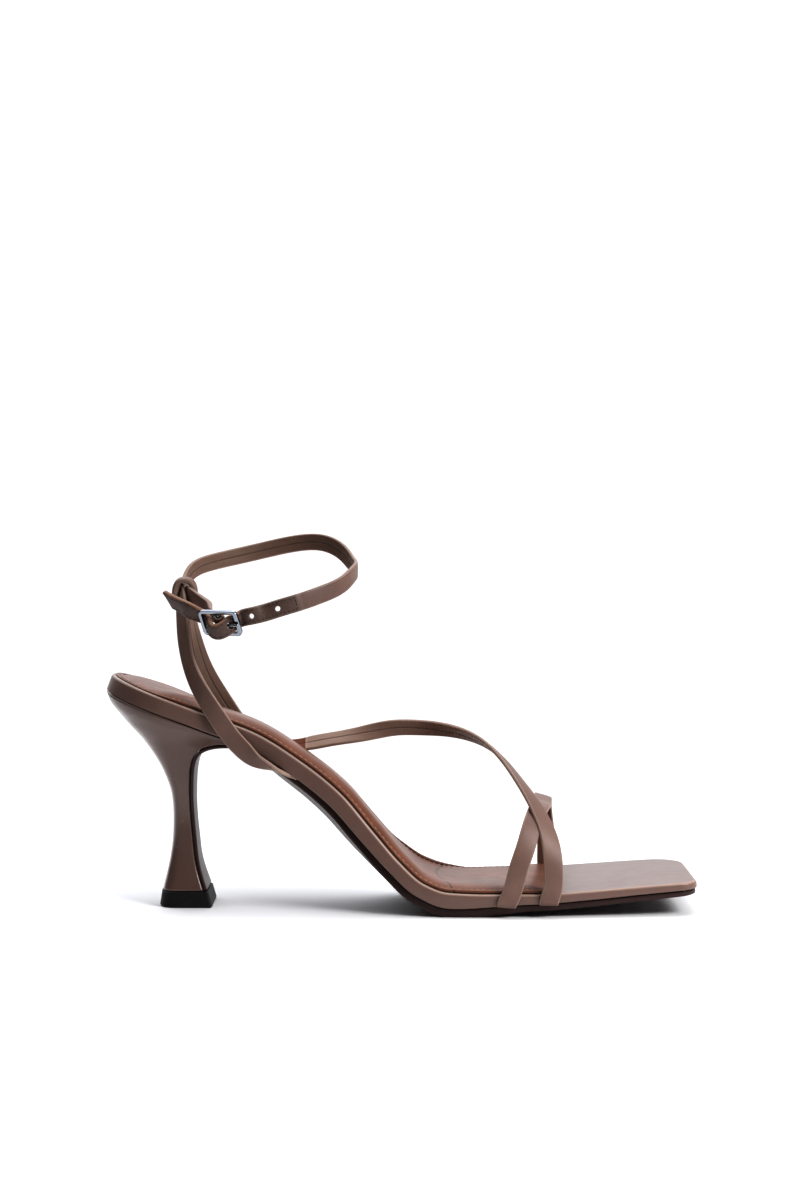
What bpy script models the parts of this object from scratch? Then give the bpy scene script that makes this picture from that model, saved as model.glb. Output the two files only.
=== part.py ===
"""A right strappy sandal on a flared high heel, built piece by piece at its real size.

+X points to the toe, +Y to the medial side, +Z up. The shoe stands on z = 0.
Tables are in millimetres, and every mesh is scaled to metres as it is made.
"""

import bmesh
import bpy
import numpy as np

MM = 0.001

# Driving sizes, in mm
GAP = 0.3  # air left between pieces that touch
TOE_END = 112.0
HEEL_CENTRE = -87.5  # centre of the rounded heel seat
HEEL_RADIUS = 23.5
TOE_CORNER_LATERAL = (6.5, 6.5)  # corner of the square toe: along and across
TOE_CORNER_MEDIAL = (13.0, 15.0)
FOOTBED_TOP_ROUND = 1.2
FOOTBED_BOTTOM_ROUND = 1.5
SOCK_INSET = 1.4  # how far the sock stops inside the edge of the footbed
SOCK_EDGE = 1.0  # thickness of the sock at its edge and the padding above it
SOCK_PADDING = 1.0
SOCK_ROUNDS = (0.6, 0.2)  # radius of its top and bottom edge
SOCK_RISE = 32.0  # length over which the padding rises from the back of the heel
SOCK_FRONT = 53.0
SOLE_SHORT = 0.6  # how far the outsole stops behind the toe of the footbed
SOLE_ROUNDS = (0.4, 0.7)
SOLE_LEAVES_FOOTBED = -51.0  # where the outsole turns off towards the heel breast
FLAP_THICK = 1.7
FLAP_ROUNDS = (0.4, 0.5)
FLAP_BELLY = 0.2
TOP_PIECE_HEIGHT = 6.0
FLOOR = 0.0
STRAP_THICK = 1.6
STRAP_CLEAR = 0.55  # gap between a strap and the side of the footbed
STRAP_STEP = 4.0  # longest spacing of the sections along a strap, and along the one in the buckle
FINE_STEP = 3.0
STATION_STEP = 6.6  # spacing of the sections along the sole
LAST_SQUARENESS = 2.4  # exponent of the oval section of the last over the forefoot
ANKLE_CENTRE = (-50.0, 0.0)
ANKLE_RADII = (33.0, 31.0)
LOOP_THICK = 1.5
BUCKLE_LENGTH = 16.0
BUCKLE_HEIGHT = 11.0
BUCKLE_BAR = 1.5
BUCKLE_CORNER = 2.0
BUCKLE_CENTRE = (-67.2, -30.0, 110.0)
BUCKLE_YAW = -22.0  # the front end of the buckle stands out, and its face looks down
BUCKLE_LEAN = 24.0
PRONG_THICK = 1.1
PRONG_HOLE = 2.6
PUNCHED_HOLE = 2.0
PUNCHED_AT = ((262.5, 115.3), (279.0, 112.6))  # turn and height on the ankle strap
PIN_START = 1.6  # the prong's hole runs from beside its bar almost to the front bar
PIN_SHORT = 1.2
SLOT_HALF = 0.9  # slot in the eye of the buckle strap, round the prong
SLOT_RADIUS = 2.8

# Footbed, heel to toe: place along the shoe, height of its top edge, thickness, reach to each side,
# how far its top is crowned, and the outsole below it: thickness, belly and inset from the edge
FOOTBED_COLUMNS = (
    "forward", "edge", "thick", "lateral", "medial", "crown", "sole", "belly", "inset",
)
FOOTBED_SECTIONS = (
    (-110.5, 89.00, 6.6, 24.5, 22.0, 0.0, 2.0, 0.0, 5.0),
    (-90.0, 81.31, 6.6, 24.6, 22.0, 0.0, 2.0, 0.0, 5.0),
    (-72.0, 74.56, 6.4, 24.4, 21.2, 0.0, 2.0, 0.2, 5.0),
    (-55.0, 68.20, 6.4, 24.4, 19.5, 0.0, 2.0, 0.8, 5.0),
    (-38.0, 57.80, 6.4, 25.4, 18.2, 0.0, 2.3, 2.7, 5.0),
    (-22.0, 45.20, 6.3, 28.2, 17.6, 0.0, 2.5, 3.1, 4.6),
    (-10.0, 31.40, 5.9, 31.0, 18.6, 0.0, 2.6, 2.7, 3.8),
    (0.0, 20.10, 5.5, 33.5, 21.5, 0.0, 2.7, 1.7, 2.8),
    (9.0, 12.40, 5.6, 35.6, 25.5, 0.0, 2.9, 0.6, 2.2),
    (18.0, 9.30, 6.0, 36.8, 28.5, 0.0, 3.3, 0.0, 2.1),
    (30.0, 8.80, 5.2, 37.3, 31.4, 0.0, 3.4, 0.0, 2.0),
    (50.0, 8.75, 3.9, 36.9, 34.0, 0.0, 2.6, 0.0, 2.0),
    (70.0, 9.85, 3.6, 35.4, 34.4, 0.5, 2.5, 0.0, 1.6),
    (90.0, 11.35, 3.3, 33.7, 33.4, 0.8, 2.3, 0.0, 1.0),
    (112.0, 12.90, 3.0, 31.8, 31.6, 0.5, 1.9, 0.0, 0.9),
)

# Heel, seat to top piece: its back and its breast in the side view, half width, how round its back
# is, half width at the breast, and half width of the outsole flap on the breast
HEEL_WIDEST = 0.46  # share of the way from back to breast
HEEL_CORNER = 0.9
HEEL_COLUMNS = ("back_x", "back_z", "front_x", "front_z", "half", "power", "breast", "flap")
HEEL_MIDDLE = -1.25
HEEL_SECTIONS = (
    (-112.4, 82.3, -60.0, 62.65, 23.0, 2.0, 19.8, 17.2),
    (-110.6, 77.5, -63.5, 63.00, 22.2, 2.0, 19.6, 17.2),
    (-108.4, 74.6, -66.5, 63.10, 21.0, 2.0, 19.0, 17.0),
    (-104.5, 70.0, -70.3, 62.80, 18.8, 2.1, 17.6, 16.4),
    (-100.7, 65.9, -74.3, 61.70, 16.4, 2.1, 15.7, 15.0),
    (-96.8, 60.9, -77.7, 59.40, 14.0, 2.1, 13.6, 13.1),
    (-93.0, 55.1, -79.6, 55.80, 12.0, 2.2, 11.8, 11.5),
    (-90.3, 49.4, -80.5, 50.20, 10.5, 2.2, 10.3, 10.1),
    (-88.7, 45.0, -80.7, 45.20, 9.6, 2.2, 9.4, 9.3),
    (-87.7, 38.0, -80.6, 38.00, 8.7, 2.2, 8.5, 8.4),
    (-87.6, 31.0, -80.1, 31.00, 8.5, 2.3, 8.3, 8.2),
    (-88.0, 24.0, -79.4, 24.00, 8.8, 2.4, 8.6, 8.5),
    (-88.9, 18.0, -78.7, 18.00, 9.3, 2.5, 9.1, 9.0),
    (-90.1, 12.2, -77.3, 12.20, 10.3, 2.7, 10.1, 10.0),
    (-91.5, 6.3, -75.4, 6.30, 11.7, 3.0, 11.5, 11.3),
)
TOP_PIECE_POWER = 3.2
TOP_PIECE_COLUMNS = ("back", "front", "height", "half")
TOP_PIECE_SECTIONS = (
    (-91.8, -73.4, TOP_PIECE_HEIGHT, 12.0),
    (-92.6, -72.0, 0.5, 12.9),
    (-92.2, -72.4, FLOOR, 12.5),
)

# Height of the last over the footbed, from instep to toes
LAST_COLUMNS = ("forward", "height")
LAST_SECTIONS = (
    (-45.0, 101.0), (-38.0, 98.0), (-16.0, 88.0), (-2.0, 80.0), (8.0, 73.0), (17.0, 65.0),
    (26.0, 57.9), (36.0, 49.3), (45.0, 40.0), (54.0, 31.8), (62.0, 25.0), (75.0, 16.0),
)

# Straps over the forefoot, from the lateral to the medial edge: place along the shoe, angle around
# the last (0 is the lateral edge of the footbed, 180 the medial one) and lift off the last
FOREFOOT_COLUMNS = ("forward", "around", "lift")
TOE_STRAP = (
    (42.8, 0.0, 0.0), (44.7, 10.0, 0.0), (46.7, 21.0, 0.0), (49.0, 37.0, 0.0), (51.6, 55.0, 0.0),
    (54.0, 73.0, 0.0), (56.6, 92.0, 0.0), (58.4, 112.0, 0.0), (59.3, 141.0, 0.0),
    (59.5, 166.0, 0.0), (59.6, 180.0, 0.0),
)
INSTEP_STRAP = (
    (57.4, 0.0, 0.0), (58.0, 14.0, 0.0), (56.2, 35.0, 0.7), (51.4, 55.0, 1.45), (44.4, 75.0, 0.9),
    (35.6, 94.0, 0.0), (26.7, 111.5, 0.0), (17.4, 123.5, 0.0), (7.9, 137.5, 0.0),
    (-1.6, 150.5, 0.0), (-15.8, 166.5, 0.0), (-27.0, 174.4, 0.0), (-36.0, 178.4, 0.4),
    (-41.5, 180.0, 0.7),
)
FOREFOOT_WIDTH = 7.3
# How far each strap has moved along the shoe by the time it reaches the bottom of the footbed
TOE_STRAP_FEET = (-3.2, 0.3)
INSTEP_STRAP_FEET = (-1.6, -4.0)

# Ankle strap, from under the lateral waist up the heel to the loop: centre of its wall, where its
# face looks (0 is straight back, -90 the lateral side), how far that is rolled down, and its width
RISE_COLUMNS = ("forward", "across", "height", "turn", "roll", "width")
ANKLE_RISE = (
    (-41.4, -22.8, 50.3, -90, 84, 3.4),
    (-45.6, -24.4, 52.4, -90, 76, 5.4),
    (-50.0, -25.9, 54.8, -90, 46, 7.0),
    (-54.6, -26.3, 57.8, -90, 16, 7.2),
    (-59.0, -26.1, 61.6, -90, 3, 7.2),
    (-63.4, -25.9, 66.4, -90, 0, 7.2),
    (-67.7, -26.2, 72.6, -86, 0, 7.2),
    (-72.2, -25.6, 79.4, -72, 0, 7.2),
    (-79.0, -20.6, 91.5, -46, 0, 7.4),
    (-82.4, -14.8, 104.0, -29, 0, 7.2),
    (-83.7, -10.6, 112.6, -16, 0, 6.6),
    (-84.5, -7.5, 116.2, -8, 0, 6.4),
    (-84.5, -2.9, 118.8, -2, 0, 6.4),
    (-83.6, 2.8, 123.2, 6, 0, 6.5),
)
# The same strap round the ankle: angle from straight behind, over the medial side, and height
RING_COLUMNS = ("turn", "height")
ANKLE_RING = (
    (15.5, 127.3), (30.0, 129.9), (46.0, 131.7), (62.0, 133.4), (80.0, 135.6), (97.0, 137.8),
    (112.0, 139.1), (124.0, 139.1), (136.0, 137.6), (148.0, 134.8), (160.0, 131.4), (177.0, 129.2),
    (195.0, 127.4), (208.0, 124.6), (220.0, 122.3), (233.0, 120.2), (248.0, 117.7), (261.0, 115.6),
    (273.0, 113.8),
)
ANKLE_WIDTH = 6.6
# Through the buckle: place along it, across it and out of its plane, under, over and under its bars
WEAVE_COLUMNS = ("along", "across", "out")
WEAVE = (
    (10.8, 0.0, -2.9), (7.25, 0.0, -2.9), (3.3, -0.3, 1.2),
    (0.0, -1.1, 4.6), (-3.3, -0.3, 1.2), (-7.25, 0.0, -2.9),
)
TAIL = (
    (-78.2, -25.9, 113.9, -50, 8, 6.6),
    (-83.6, -20.8, 116.2, -44, 0, 6.6),
    (-88.2, -15.9, 118.2, -42, 0, 6.6),
)
TAIL_POINT = 3.2  # length and end width of the point of the strap
TAIL_TIP_WIDTH = 2.2
TIP_START_TURN = 249.0  # from here on the strap end is doubled
TIP_STEP = 0.35  # how far the doubled end stands out of the strap

# Buckle strap, from under the medial waist up the heel, through the loop and on to the buckle
BUCKLE_RISE = (
    (-52.8, 16.6, 56.6, 90, 84, 3.4),
    (-55.2, 19.2, 58.6, 90, 70, 5.4),
    (-57.6, 21.2, 60.4, 90, 40, 7.0),
    (-60.4, 22.2, 63.4, 90, 12, 7.2),
    (-64.0, 22.5, 67.6, 90, 0, 7.2),
    (-67.4, 22.8, 72.4, 86, 0, 7.2),
    (-71.6, 22.4, 79.0, 70, 0, 7.2),
    (-76.2, 18.8, 88.0, 48, 0, 7.2),
    (-79.9, 13.0, 100.8, 30, 0, 7.0),
    (-81.4, 5.4, 111.6, 12, 0, 6.8),
    (-81.6, -1.6, 117.8, 0, 0, 6.4),
    (-81.4, -6.6, 119.9, -14, 0, 6.4),
    (-79.2, -11.2, 118.5, -36, 0, 6.4),
)
# Its end is folded back on itself behind the buckle, on the way to the eye round the bar
BUCKLE_FOLD = ((-75.3, -16.0, 116.2, -50, 4, 6.4), (-72.1, -20.2, 113.9, -60, 10, 6.4))
FOLD_THICK = 2.4
EYE_START = (-4.4, -4.2)  # along and out of the buckle
EYE_THICK = 1.1
EYE_WIDTH = 6.2

# Loop at the back that holds the two straps together, looked at along Y: centre, inside size
LOOP_CENTRE = (-82.9, -5.2, 118.0)
LOOP_INSIDE = (6.9, 13.4)
LOOP_SQUARENESS = 3.4  # exponent of its rounded oblong
LOOP_WIDTH = 4.8

COLOURS = {
    "taupe_leather": ((0.235, 0.165, 0.140), 0.48, 0.0),
    "footbed_leather": ((0.260, 0.190, 0.165), 0.45, 0.0),
    "brown_sock": ((0.230, 0.085, 0.045), 0.42, 0.0),
    "brown_outsole": ((0.040, 0.022, 0.018), 0.50, 0.0),
    "glossy_heel": ((0.160, 0.105, 0.090), 0.22, 0.0),
    "black_rubber": ((0.012, 0.010, 0.010), 0.60, 0.0),
    "chrome": ((0.800, 0.810, 0.830), 0.12, 1.0),
}


# Tables and curves


class Table:
    """Rows of sizes by column name, read between rows along the first column without overshoot."""

    def __init__(self, columns, rows):
        values = np.array(rows, float)
        self.columns = named(columns, values.T)
        self.places = values[:, 0]

    def at(self, name, place):
        return monotone(self.places, self.columns[name], np.asarray(place, float))


def monotone(xs, ys, at):
    """Cubic through the points whose slopes are harmonic means, so it never overshoots."""
    steps = np.diff(xs)
    slopes = np.diff(ys) / steps
    tangents = np.zeros(len(xs))
    tangents[0] = slopes[0]
    tangents[-1] = slopes[-1]
    for i in range(1, len(xs) - 1):
        if slopes[i - 1] * slopes[i] > 0:
            before = 2 * steps[i] + steps[i - 1]
            after = steps[i] + 2 * steps[i - 1]
            tangents[i] = (before + after) / (before / slopes[i - 1] + after / slopes[i])
    i = np.clip(np.searchsorted(xs, at) - 1, 0, len(xs) - 2)
    t = (at - xs[i]) / steps[i]
    blend = t * t * (3 - 2 * t)
    lead = steps[i] * t * (1 - t)
    return (1 - blend) * ys[i] + blend * ys[i + 1] + lead * ((1 - t) * tangents[i] - t * tangents[i + 1])


def fair(points, places, at):
    """Natural cubic spline of each column of points over places."""
    points = np.asarray(points, float)
    count = len(places)
    steps = np.diff(places)
    system = np.eye(count)
    right = np.zeros(points.shape)
    for i in range(1, count - 1):
        system[i, i - 1] = steps[i - 1]
        system[i, i] = 2 * (steps[i - 1] + steps[i])
        system[i, i + 1] = steps[i]
        right[i] = 6 * ((points[i + 1] - points[i]) / steps[i] - (points[i] - points[i - 1]) / steps[i - 1])
    bends = np.linalg.solve(system, right)
    i = np.clip(np.searchsorted(places, at) - 1, 0, count - 2)
    h = steps[i][:, None]
    a = ((places[i + 1] - at) / steps[i])[:, None]
    b = 1 - a
    curve = a * points[i] + b * points[i + 1]
    return curve + h * h / 6 * ((a**3 - a) * bends[i] + (b**3 - b) * bends[i + 1])


def named(columns, row):
    return dict(zip(columns, row))


def unit(vectors):
    return vectors / np.linalg.norm(vectors, axis=-1, keepdims=True)


FOOTBED = Table(FOOTBED_COLUMNS, FOOTBED_SECTIONS)
LAST = Table(LAST_COLUMNS, LAST_SECTIONS)


# The form of the footbed


def reach(side, forward, inset=0.0):
    """Distance from the foot line to one edge of the footbed, rounded at the heel and at the toe."""
    wide = FOOTBED.at(side, forward) - inset
    behind = np.clip((HEEL_CENTRE - forward) / (HEEL_RADIUS - inset), 0.0, 0.999)
    wide = wide * np.sqrt(1 - behind**2)
    along, across = TOE_CORNER_LATERAL if side == "lateral" else TOE_CORNER_MEDIAL
    past = np.clip((forward - (TOE_END - inset - along)) / along, 0.0, 1.0)
    return wide - across * (1 - np.sqrt(1 - past**2))


def footbed_frame(forward):
    """Point on the foot line at the height of the footbed's edge, and the direction out of its top."""
    step = 0.5
    rise = FOOTBED.at("edge", forward + step) - FOOTBED.at("edge", forward - step)
    up = unit(np.array([-rise / (2 * step), 0.0, 1.0]))
    return np.array([forward, 0.0, float(FOOTBED.at("edge", forward))]), up


def placed(section, origin, up):
    """Turns (across, depth below the top) pairs into points on the plane across the shoe."""
    section = np.asarray(section, float)
    return origin + section[:, :1] * np.array([0.0, 1.0, 0.0]) - section[:, 1:] * up


def slab(lateral, medial, top, bottom, top_round, bottom_round, crown=0.0, belly=0.0, spread=5):
    """Section of a flat piece with rounded edges, crowned on top and with a belly below."""
    ring = []
    for share in np.linspace(-1, 1, spread)[1:-1]:
        middle = (medial - lateral) / 2
        half = (medial + lateral) / 2 - top_round
        ring.append((middle - share * half, top - crown * (1 - share**2)))
    for corner in ((-lateral, 1), (medial, -1)):
        edge, inward = corner
        arc = []
        for turn in np.radians((0, 45, 90)):
            across = edge + inward * top_round * (1 - np.sin(turn))
            arc.append((across, top + top_round * (1 - np.cos(turn))))
        for turn in np.radians((0, 45, 90)):
            across = edge + inward * bottom_round * (1 - np.cos(turn))
            arc.append((across, bottom - bottom_round * (1 - np.sin(turn))))
        if inward > 0:
            ring += arc
            for share in np.linspace(-1, 1, spread)[1:-1]:
                middle = (medial - lateral) / 2
                half = (medial + lateral) / 2 - bottom_round
                ring.append((middle + share * half, bottom + belly * (1 - share**2)))
        else:
            ring += arc[::-1]
    return ring


def run_of_stations():
    """Places along the shoe at even steps of its curved length, from the heel seat to the toe corner."""
    fine = np.linspace(HEEL_CENTRE, TOE_END - TOE_CORNER_MEDIAL[0], 400)
    length = np.cumsum(np.hypot(np.gradient(fine), np.gradient(FOOTBED.at("edge", fine))))
    count = int(round((length[-1] - length[0]) / STATION_STEP)) + 1
    return list(np.interp(np.linspace(length[0], length[-1], count), length, fine))


def round_heel(inset=0.0):
    """Places round the back of the heel seat, closer together towards the back."""
    turns = np.radians((12, 24, 36, 49, 62, 76))
    return list(HEEL_CENTRE - (HEEL_RADIUS - inset) * np.cos(turns))


def square_toe(inset=0.0):
    """Places through the toe corners, closer together towards the tip."""
    start = TOE_END - TOE_CORNER_MEDIAL[0]
    span = TOE_CORNER_MEDIAL[0] - inset
    return list(start + span * np.sin(np.radians((18, 34, 48, 60, 71, 80, 90))))


# Meshes


def new_material(name):
    colour, roughness, metallic = COLOURS[name]
    material = bpy.data.materials.get(name) or bpy.data.materials.new(name)
    material.use_nodes = True
    shader = material.node_tree.nodes["Principled BSDF"]
    shader.inputs["Base Color"].default_value = (*colour, 1.0)
    shader.inputs["Roughness"].default_value = roughness
    shader.inputs["Metallic"].default_value = metallic
    return material


def loft(name, rings, material, closed=False):
    """Solid through rings of equal count, capped at both ends or joined end to end."""
    points = np.concatenate(rings) * MM
    size = len(rings[0])
    mesh = bpy.data.meshes.new(name)
    build = bmesh.new()
    made = [build.verts.new(point) for point in points]
    spans = len(rings) if closed else len(rings) - 1
    for i in range(spans):
        here = i * size
        there = (i + 1) % len(rings) * size
        for j in range(size):
            k = (j + 1) % size
            build.faces.new((made[here + j], made[here + k], made[there + k], made[there + j]))
    if not closed:
        build.faces.new(made[:size])
        build.faces.new(made[-size:])
    bmesh.ops.recalc_face_normals(build, faces=build.faces)
    build.to_mesh(mesh)
    build.free()
    mesh.shade_smooth()
    mesh.set_sharp_from_angle(angle=np.radians(40))
    mesh.materials.append(new_material(material))
    piece = bpy.data.objects.new(name, mesh)
    bpy.context.collection.objects.link(piece)
    return piece


def combine(piece, other, operation):
    """Adds other to piece or cuts it away, and hides it."""
    modifier = piece.modifiers.new(operation.lower() + "_" + other.name, "BOOLEAN")
    modifier.operation = operation
    modifier.solver = "EXACT"
    modifier.object = other
    other.hide_render = True
    other.display_type = "WIRE"


# Sole pieces


def make_footbed():
    rings = []
    for forward in round_heel() + run_of_stations() + square_toe():
        origin, up = footbed_frame(forward)
        section = slab(
            reach("lateral", forward), reach("medial", forward), 0.0, float(FOOTBED.at("thick", forward)),
            FOOTBED_TOP_ROUND, FOOTBED_BOTTOM_ROUND, crown=float(FOOTBED.at("crown", forward)),
        )
        rings.append(placed(section, origin, up))
    return loft("footbed", rings, "footbed_leather")


def make_sock():
    rings = []
    covered = [place for place in run_of_stations() if place < SOCK_FRONT - STATION_STEP / 3]
    back = round_heel(SOCK_INSET)
    for forward in back + covered + [SOCK_FRONT]:
        origin, up = footbed_frame(forward)
        lateral = reach("lateral", forward, SOCK_INSET)
        medial = reach("medial", forward, SOCK_INSET)
        padding = SOCK_PADDING * np.sin(np.pi / 2 * min(1.0, (forward - back[0]) / SOCK_RISE))
        section = slab(lateral, medial, -GAP - SOCK_EDGE, -GAP, *SOCK_ROUNDS, crown=padding, spread=7)
        rings.append(placed(section, origin, up))
    return loft("sock", rings, "brown_sock")


def breast_rings():
    """Sections of the outsole where it leaves the footbed and runs down the front of the heel."""
    heel = named(HEEL_COLUMNS, np.array(HEEL_SECTIONS, float).T)
    line = np.stack([heel["front_x"], heel["front_z"]], 1)
    along = unit(np.gradient(line, axis=0))
    towards_heel = np.stack([along[:, 1], -along[:, 0]], 1)
    rings = []
    for point, face, half in list(zip(line, towards_heel, heel["flap"]))[1:]:
        origin = np.array([point[0] - GAP * face[0], HEEL_MIDDLE, point[1] - GAP * face[1]])
        origin[2] = max(origin[2], TOP_PIECE_HEIGHT + GAP)
        up = np.array([face[0], 0.0, face[1]])
        section = slab(half, half, 0.0, FLAP_THICK, *FLAP_ROUNDS, belly=FLAP_BELLY)
        rings.append(placed(section, origin, up))
    return rings


def make_outsole():
    rings = []
    under = [place for place in run_of_stations() if place > SOLE_LEAVES_FOOTBED]
    for forward in (under + square_toe(SOLE_SHORT))[::-1]:
        origin, up = footbed_frame(forward)
        inset = float(FOOTBED.at("inset", forward))
        top = float(FOOTBED.at("thick", forward)) + GAP
        bottom = top + float(FOOTBED.at("sole", forward))
        section = slab(
            reach("lateral", forward, inset), reach("medial", forward, inset), top, bottom,
            *SOLE_ROUNDS, belly=float(FOOTBED.at("belly", forward)),
        )
        ring = placed(section, origin, up)
        ring[:, 2] = np.maximum(ring[:, 2], FLOOR)
        rings.append(ring)
    return loft("outsole", rings + breast_rings(), "brown_outsole")


def heel_ring(back, front, half, power, breast):
    """Round at the back and flat at the breast, in the plane through its back and front points."""
    back = np.array([back[0], HEEL_MIDDLE, back[1]])
    front = np.array([front[0], HEEL_MIDDLE, front[1]])
    length = np.linalg.norm(front - back)
    narrow = breast / half
    shape = [(0.0, 0.0)]
    for turn in np.radians((14, 28, 43, 58, 74, 90)):
        shape.append((HEEL_WIDEST * (1 - np.cos(turn) ** (2 / power)), np.sin(turn) ** (2 / power)))
    shape += [
        (0.75, 0.7 + 0.3 * narrow), (1 - HEEL_CORNER / length, narrow), (1.0, narrow - HEEL_CORNER / half),
    ]
    sides = [(place, share * half) for place, share in shape]
    sides += [(place, -share * half) for place, share in shape[:0:-1]]
    sides = np.array(sides)
    return back + sides[:, :1] * (front - back) + sides[:, 1:] * np.array([0.0, 1.0, 0.0])


def make_heel():
    rings = []
    for row in HEEL_SECTIONS:
        size = named(HEEL_COLUMNS, row)
        back = (size["back_x"], size["back_z"])
        front = (size["front_x"], size["front_z"])
        rings.append(heel_ring(back, front, size["half"], size["power"], size["breast"]))
    return loft("heel", rings, "glossy_heel")


def make_top_piece():
    rings = []
    for row in TOP_PIECE_SECTIONS:
        size = named(TOP_PIECE_COLUMNS, row)
        height = size["height"]
        half = size["half"]
        rings.append(heel_ring((size["back"], height), (size["front"], height), half, TOP_PIECE_POWER, half))
    return loft("top_piece", rings, "black_rubber")


# Straps


def strap_section(width, thick):
    """Folded leather strap: flat inside, softly domed outside, with round folded edges."""
    half = width / 2
    turn = min(0.5, half * 0.6)
    return np.array([
        (-half + turn, thick * 0.92), (0.0, thick), (half - turn, thick * 0.92), (half, thick * 0.5),
        (half - turn, 0.0), (0.0, 0.0), (-half + turn, 0.0), (-half, thick * 0.5),
    ])


def strap_rings(points, faces, widths, thick, step):
    """Carries the strap section along a spline through points, its inner face on them."""
    points = np.asarray(points, float)
    lengths = np.linalg.norm(np.diff(points, axis=0), axis=1)
    places = np.concatenate([[0.0], np.cumsum(lengths)])
    parts = []
    for start, end in zip(places, places[1:]):
        parts.append(np.linspace(start, end, int(np.ceil((end - start) / step)), endpoint=False))
    at = np.concatenate(parts + [places[-1:]])
    path = fair(points, places, at)
    out = unit(fair(faces, places, at))
    along = unit(np.gradient(path, at, axis=0))
    out = unit(out - np.sum(out * along, axis=1, keepdims=True) * along)
    across = np.cross(out, along)
    width = np.interp(at, places, widths)
    thickness = np.interp(at, places, np.broadcast_to(thick, len(places)))
    rings = []
    for i in range(len(at)):
        section = strap_section(width[i], thickness[i])
        rings.append(path[i] + section[:, :1] * across[i] + section[:, 1:] * out[i])
    return rings


def last_point(forward, around, lift):
    """Point of the last over the footbed: an oval from the lateral edge over to the medial edge."""
    turn = np.radians(around)
    level = abs(np.cos(turn)) ** (2 / LAST_SQUARENESS)
    rise = abs(np.sin(turn)) ** (2 / LAST_SQUARENESS)
    side, sign = ("lateral", -1) if around < 90 else ("medial", 1)
    across = sign * level * (float(reach(side, forward)) + STRAP_CLEAR + lift)
    height = float(FOOTBED.at("edge", forward)) + rise * (float(LAST.at("height", forward)) + lift)
    return np.array([forward, across, height])


def last_face(forward, around, lift):
    """Direction straight out of the last."""
    turn = np.clip(around, 2.0, 178.0)
    along = last_point(forward + 0.5, turn, lift) - last_point(forward - 0.5, turn, lift)
    over = last_point(forward, turn + 1, lift) - last_point(forward, turn - 1, lift)
    return unit(np.cross(along, over))


def strap_foot(forward, lean, side):
    """Points and faces of a strap end, from the footbed's edge down its side and round under it."""
    sign = -1 if side == "lateral" else 1
    radius = FOOTBED_BOTTOM_ROUND
    reach_out = radius + STRAP_CLEAR
    points = []
    faces = []
    for share, turn in ((0.8, 0), (1.0, 24), (1.0, 52)):
        place = forward + lean * share
        origin, up = footbed_frame(place)
        angle = np.radians(turn)
        across = float(reach(side, place)) - radius + reach_out * np.cos(angle)
        depth = float(FOOTBED.at("thick", place)) - radius + reach_out * np.sin(angle)
        points.append(placed([(sign * across, depth)], origin, up)[0])
        faces.append(np.array([0.0, sign * np.cos(angle), 0.0]) - up * np.sin(angle))
    return points, faces


def forefoot_strap(name, rows, feet):
    points = [last_point(**named(FOREFOOT_COLUMNS, row)) for row in rows]
    faces = [last_face(**named(FOREFOOT_COLUMNS, row)) for row in rows]
    low, low_faces = strap_foot(rows[0][0], feet[0], "lateral")
    high, high_faces = strap_foot(rows[-1][0], feet[1], "medial")
    points = low[::-1] + points + high
    faces = low_faces[::-1] + faces + high_faces
    rings = strap_rings(points, faces, [FOREFOOT_WIDTH] * len(points), STRAP_THICK, STRAP_STEP)
    return loft(name, rings, "taupe_leather")


def make_forefoot_straps():
    straps = forefoot_strap("forefoot_straps", INSTEP_STRAP, INSTEP_STRAP_FEET)
    combine(straps, forefoot_strap("toe_strap", TOE_STRAP, TOE_STRAP_FEET), "UNION")
    return straps


def heading_face(turn, roll):
    """Direction at an angle from straight back, turned to look down by roll."""
    angle = np.radians(turn)
    down = np.radians(roll)
    flat = np.array([-np.cos(angle), np.sin(angle), 0.0])
    return flat * np.cos(down) - np.array([0.0, 0.0, np.sin(down)])


def ring_face(turn):
    """Direction out of the oval of the ankle."""
    angle = np.radians(turn)
    return unit(np.array([-np.cos(angle) / ANKLE_RADII[0], np.sin(angle) / ANKLE_RADII[1], 0.0]))


def ring_point(turn, height):
    angle = np.radians(turn)
    forward = ANKLE_CENTRE[0] - ANKLE_RADII[0] * np.cos(angle)
    across = ANKLE_CENTRE[1] + ANKLE_RADII[1] * np.sin(angle)
    return np.array([forward, across, height])


def buckle_axes():
    """Along the buckle to the front, across it upwards, and out of its face."""
    yaw = np.radians(BUCKLE_YAW)
    lean = np.radians(BUCKLE_LEAN)
    along = np.array([np.cos(yaw), np.sin(yaw), 0.0])
    level = np.array([np.sin(yaw), -np.cos(yaw), 0.0])
    out = level * np.cos(lean) - np.array([0.0, 0.0, np.sin(lean)])
    return along, np.cross(along, -out), out


def buckle_point(along, across, out):
    axes = buckle_axes()
    return np.array(BUCKLE_CENTRE) + along * axes[0] + across * axes[1] + out * axes[2]


class Route:
    """Middle line of a strap as it is gathered row by row: points, faces, widths and thicknesses."""

    def __init__(self):
        self.points, self.faces, self.widths, self.thick = [], [], [], []

    def add(self, point, face, width, thick):
        """The tables give the middle of the wall, and the section grows outwards from its inner face."""
        self.points.append(np.array(point, float) - np.array(face) * thick / 2)
        self.faces.append(face)
        self.widths.append(width)
        self.thick.append(thick)

    def add_rows(self, rows, thick):
        for row in rows:
            size = named(RISE_COLUMNS, row)
            point = (size["forward"], size["across"], size["height"])
            self.add(point, heading_face(size["turn"], size["roll"]), size["width"], thick)

    def make(self, name, step):
        rings = strap_rings(self.points, self.faces, self.widths, self.thick, step)
        return loft(name, rings, "taupe_leather")


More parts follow.
